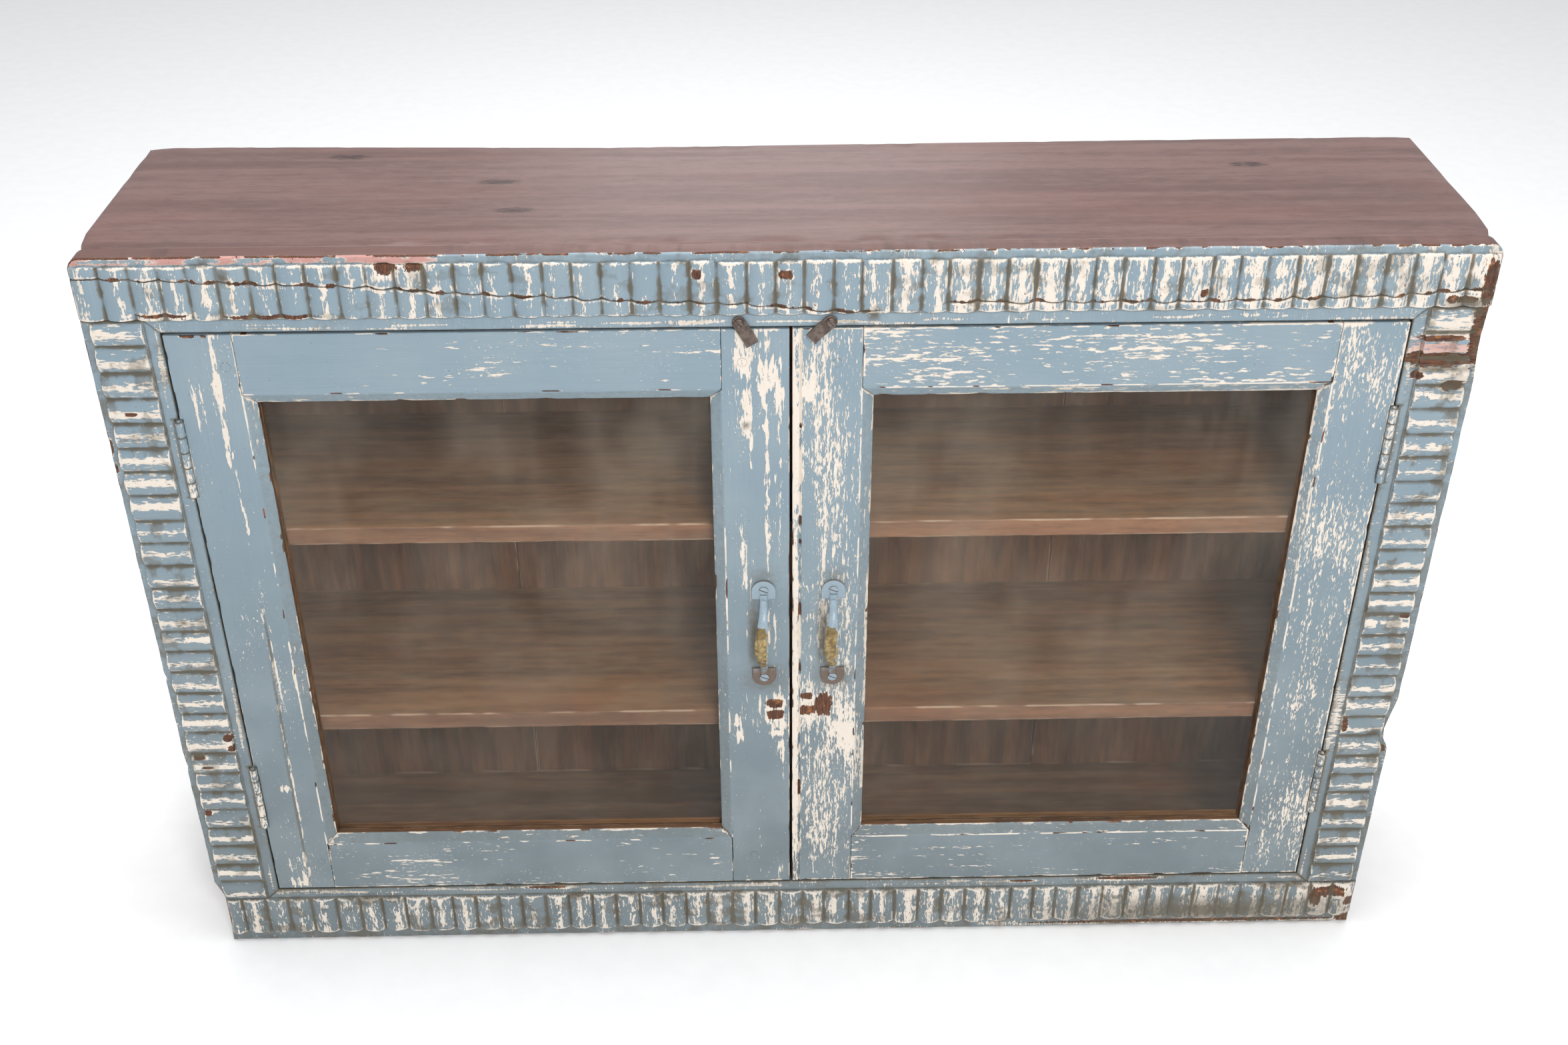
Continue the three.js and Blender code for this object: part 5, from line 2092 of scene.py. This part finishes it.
@dataclass
class ButtHinge:
    """One hinge: two leaves with rounded knuckles, a pin with turned ends, and countersunk screws.

    Attributes:
        side: the side it is on.
        level: upper or lower.
        screw: radius of a screw head.
        offset: how far a screw is moved back from the middle of its leaf.
        proud: how far a head stands out of its leaf.
        knuckles: how many knuckles it has.
    """

    side: Side
    level: str
    screw: float = 2.7 * MM
    offset: float = 0.3 * MM
    proud: float = 0.1 * MM
    knuckles: int = 5

    def screws(self, leaf: str, body: str, facing: int) -> None:
        """Lets three screws into a leaf, with their heads a little proud of it.

        Args:
            leaf: the leaf's node.
            body: the body that it moves with.
            facing: the sign of x that the screw heads look towards.
        """
        low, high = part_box(leaf)
        mesh = bmesh.new()
        tall = 0.6 * MM
        underside = centre(leaf)[0] - facing * (self.offset + tall - self.proud)
        turn = Euler((0, facing * math.pi / 2, 0)).to_matrix().to_4x4()
        for k, share in enumerate((0.14, 0.5, 0.86)):
            depth = high.y - (6.0 if k % 2 else 8.5) * MM
            place = Matrix.Translation((underside, depth, low.z + share * (high.z - low.z)))
            spin = Euler((0, 0, 0.5 + 1.1 * k)).to_matrix().to_4x4()
            slotted_head(mesh, self.screw, tall, 0.6 * MM, place @ turn @ spin, 0.3)
        set_layer(mesh, Layer.GRIME, 0.4)
        finish_piece(mesh, f"{leaf}_screws", body, (IRON_PAINT,))

    def build(self) -> None:
        """Makes the leaves and the pin."""
        stem = f"hinge_{self.side.word}_{self.level}"
        door = f"door_{self.side.word}"
        inward = -self.side.value
        leaves = ((f"{stem}_frame_leaf", "cabinet", inward), (f"{stem}_door_leaf", door, -inward))
        for leaf, body, facing in leaves:
            self.screws(leaf, body, facing)
            mesh = merged_copy(leaf)
            soften_edges(mesh, 0.2 * MM)
            low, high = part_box(leaf)
            bands = [low.z + k * (high.z - low.z) / self.knuckles for k in range(self.knuckles + 1)]
            slice_at(mesh, 2, sorted(band + shift * MM for band in bands for shift in (-2, -0.9, 0.9, 2)))
            places = coordinates(mesh)
            knuckle = 1 - ease(places[:, 1], low.y + 3 * MM, low.y + 7 * MM)
            step = (high.z - low.z) / self.knuckles
            number = (places[:, 2] - low.z) / step
            joints = np.abs(number - np.round(number)) * step
            set_layer(mesh, Layer.GRIME, 0.25 + 0.9 * near(joints, 0.0, 0.8 * MM) * knuckle)
            set_layer(mesh, Layer.WEAR, 0.35 * knuckle)
            finish_piece(mesh, f"{leaf}_painted", body, (IRON_PAINT,), (leaf,))
        pin = f"{stem}_pin"
        low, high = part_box(pin)
        radius, cap = (high.x - low.x) / 2, 0.6 * MM
        tall, narrow = high.z - low.z, radius * 0.7
        profile = [(0, 0), (narrow, 0), (radius, cap), (radius, tall - cap), (narrow, tall), (0, tall)]
        x, y, _ = centre(pin)
        mesh = bmesh.new()
        lathe(mesh, profile, Matrix.Translation((x, y, low.z)), 20)
        set_layer(mesh, Layer.WEAR, 0.3)
        finish_piece(mesh, f"{pin}_turned", "cabinet", (IRON_PAINT,), (pin,))


@dataclass
class TurnButton:
    """The strip, washer and screw that keep a door shut.

    Attributes:
        side: the door's side.
        head: height of the screw's head.
        shank: radius of the screw's shank.
    """

    side: Side
    head: float = 2.1 * MM
    shank: float = 1.8 * MM

    def build(self) -> None:
        """Makes the three pieces."""
        stem = f"turn_button_{self.side.word}"
        parts = (
            ("strip", stem, Slot.DARK_IRON, GUNMETAL, 0.3 * MM),
            ("washer", "cabinet", Slot.BRASS, WASHER_BRASS, 0.2 * MM),
        )
        for part, body, slot, finish, edge in parts:
            node = f"{stem}_{part}"
            mesh = merged_copy(node)
            soften_edges(mesh, edge)
            set_layer(mesh, Layer.GRIME, 0.12)
            finish_piece(mesh, f"{node}_filed", body, (finish,), (node,))
        node = f"{stem}_screw"
        low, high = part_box(node)
        x, _, z = centre(node)
        mesh = bmesh.new()
        place = facing_front(x, low.y + self.head, z, 0.9)
        slotted_head(mesh, (high.x - low.x) / 2, self.head, 0.9 * MM, place, 0.4)
        tip, root = -3.0 * MM, 0.2 * MM
        lathe(mesh, [(0, tip), (self.shank, tip), (self.shank, root), (0, root)], place, 16)
        finish_piece(mesh, f"{node}_turned", "cabinet", (GUNMETAL,), (node,))


# ---------------------------------------------------------------- studio


@dataclass(frozen=True)
class Lamp:
    """One soft square lamp.

    Attributes:
        name: its name.
        place: where it hangs.
        aim: the point that it faces.
        size: its side, in metres.
        power: its power, in watts.
    """

    name: str
    place: tuple[float, float, float]
    aim: tuple[float, float, float]
    size: float
    power: float

    def hang(self) -> None:
        """Adds the lamp to the scene."""
        data = bpy.data.lights.new(self.name, "AREA")
        data.shape = "SQUARE"
        data.size = self.size
        data.energy = self.power
        lamp = bpy.data.objects.new(self.name, data)
        lamp.location = self.place
        lamp.rotation_euler = (Vector(self.aim) - Vector(self.place)).to_track_quat("-Z", "Y").to_euler()
        bpy.context.scene.collection.objects.link(lamp)


@dataclass
class Studio:
    """The floor, the lights and the camera.

    Attributes:
        lens: the camera's focal length, in millimetres.
        sensor: its sensor's width, in millimetres.
        position: where it stands.
        angles: its turn about x, y and z, in degrees.
        nearest: where its view begins.
        floor_size: side of the floor.
        floor_drop: how far the floor is under the cabinet.
        sky: colour of the light from all round.
        sky_strength: how bright that light is.
        lamps: the lamps.
    """

    lens: float = 40.73
    sensor: float = 36.0
    position: tuple[float, float, float] = (-0.0318, -1.462, 1.373)
    angles: tuple[float, float, float] = (57.2635, 0.1012, -1.1903)
    nearest: float = 0.05
    floor_size: float = 14.0
    floor_drop: float = 0.4 * MM
    sky: Color = (0.96, 0.98, 1.0)
    sky_strength: float = 0.58
    lamps: tuple[Lamp, ...] = (
        Lamp("key", (0.4, -2.0, 1.95), (0.0, 0.0, 0.4), 0.5, 26.0),
        Lamp("top", (0.0, 0.3, 3.4), (0.0, 0.2, 0.0), 3.0, 95.0),
        Lamp("sheen", (0.0, 2.6, 1.9), (0.0, 0.0, 0.8), 1.1, 5.0),
    )

    def camera(self) -> None:
        """Stands the camera above and in front of the cabinet."""
        data = bpy.data.cameras.new("camera")
        data.lens = self.lens
        data.sensor_width = self.sensor
        data.clip_start = self.nearest
        camera = bpy.data.objects.new("camera", data)
        camera.location = self.position
        camera.rotation_euler = [math.radians(angle) for angle in self.angles]
        bpy.context.scene.collection.objects.link(camera)
        bpy.context.scene.camera = camera

    def floor(self) -> None:
        """Lays a wide flat sheet of paper under the cabinet."""
        mesh = bmesh.new()
        bmesh.ops.create_grid(mesh, x_segments=24, y_segments=24, size=self.floor_size / 2)
        bmesh.ops.translate(mesh, verts=mesh.verts, vec=(0, 0, -self.floor_drop))
        data = bpy.data.meshes.new("floor")
        mesh.to_mesh(data)
        mesh.free()
        data.materials.append(StudioFloor("studio_paper").material())
        floor = bpy.data.objects.new("floor", data)
        bpy.context.scene.collection.objects.link(floor)

    def world(self) -> None:
        """Surrounds the cabinet with plain pale light."""
        world = bpy.data.worlds.new("studio")
        world.use_nodes = True
        sky = world.node_tree.nodes["Background"]
        sky.inputs["Color"].default_value = (*self.sky, 1.0)
        sky.inputs["Strength"].default_value = self.sky_strength
        bpy.context.scene.world = world
        bpy.context.scene.view_settings.view_transform = "Standard"

    def build(self) -> None:
        """Sets up the whole studio."""
        self.camera()
        self.floor()
        for lamp in self.lamps:
            lamp.hang()
        self.world()


# ---------------------------------------------------------------- the whole cabinet


def main() -> None:
    """Builds the studio and the cabinet, piece by piece."""
    logging.basicConfig(level=logging.INFO, format="%(message)s")
    Studio().build()
    FaceFrame().build()
    Carcass().build()
    for side, look in ((Side.LEFT, LEFT_LOOK), (Side.RIGHT, RIGHT_LOOK)):
        Door(side, look).build()
        for level in ("upper", "lower"):
            ButtHinge(side, level).build()
        TurnButton(side).build()


if __name__ == "__main__":
    main()
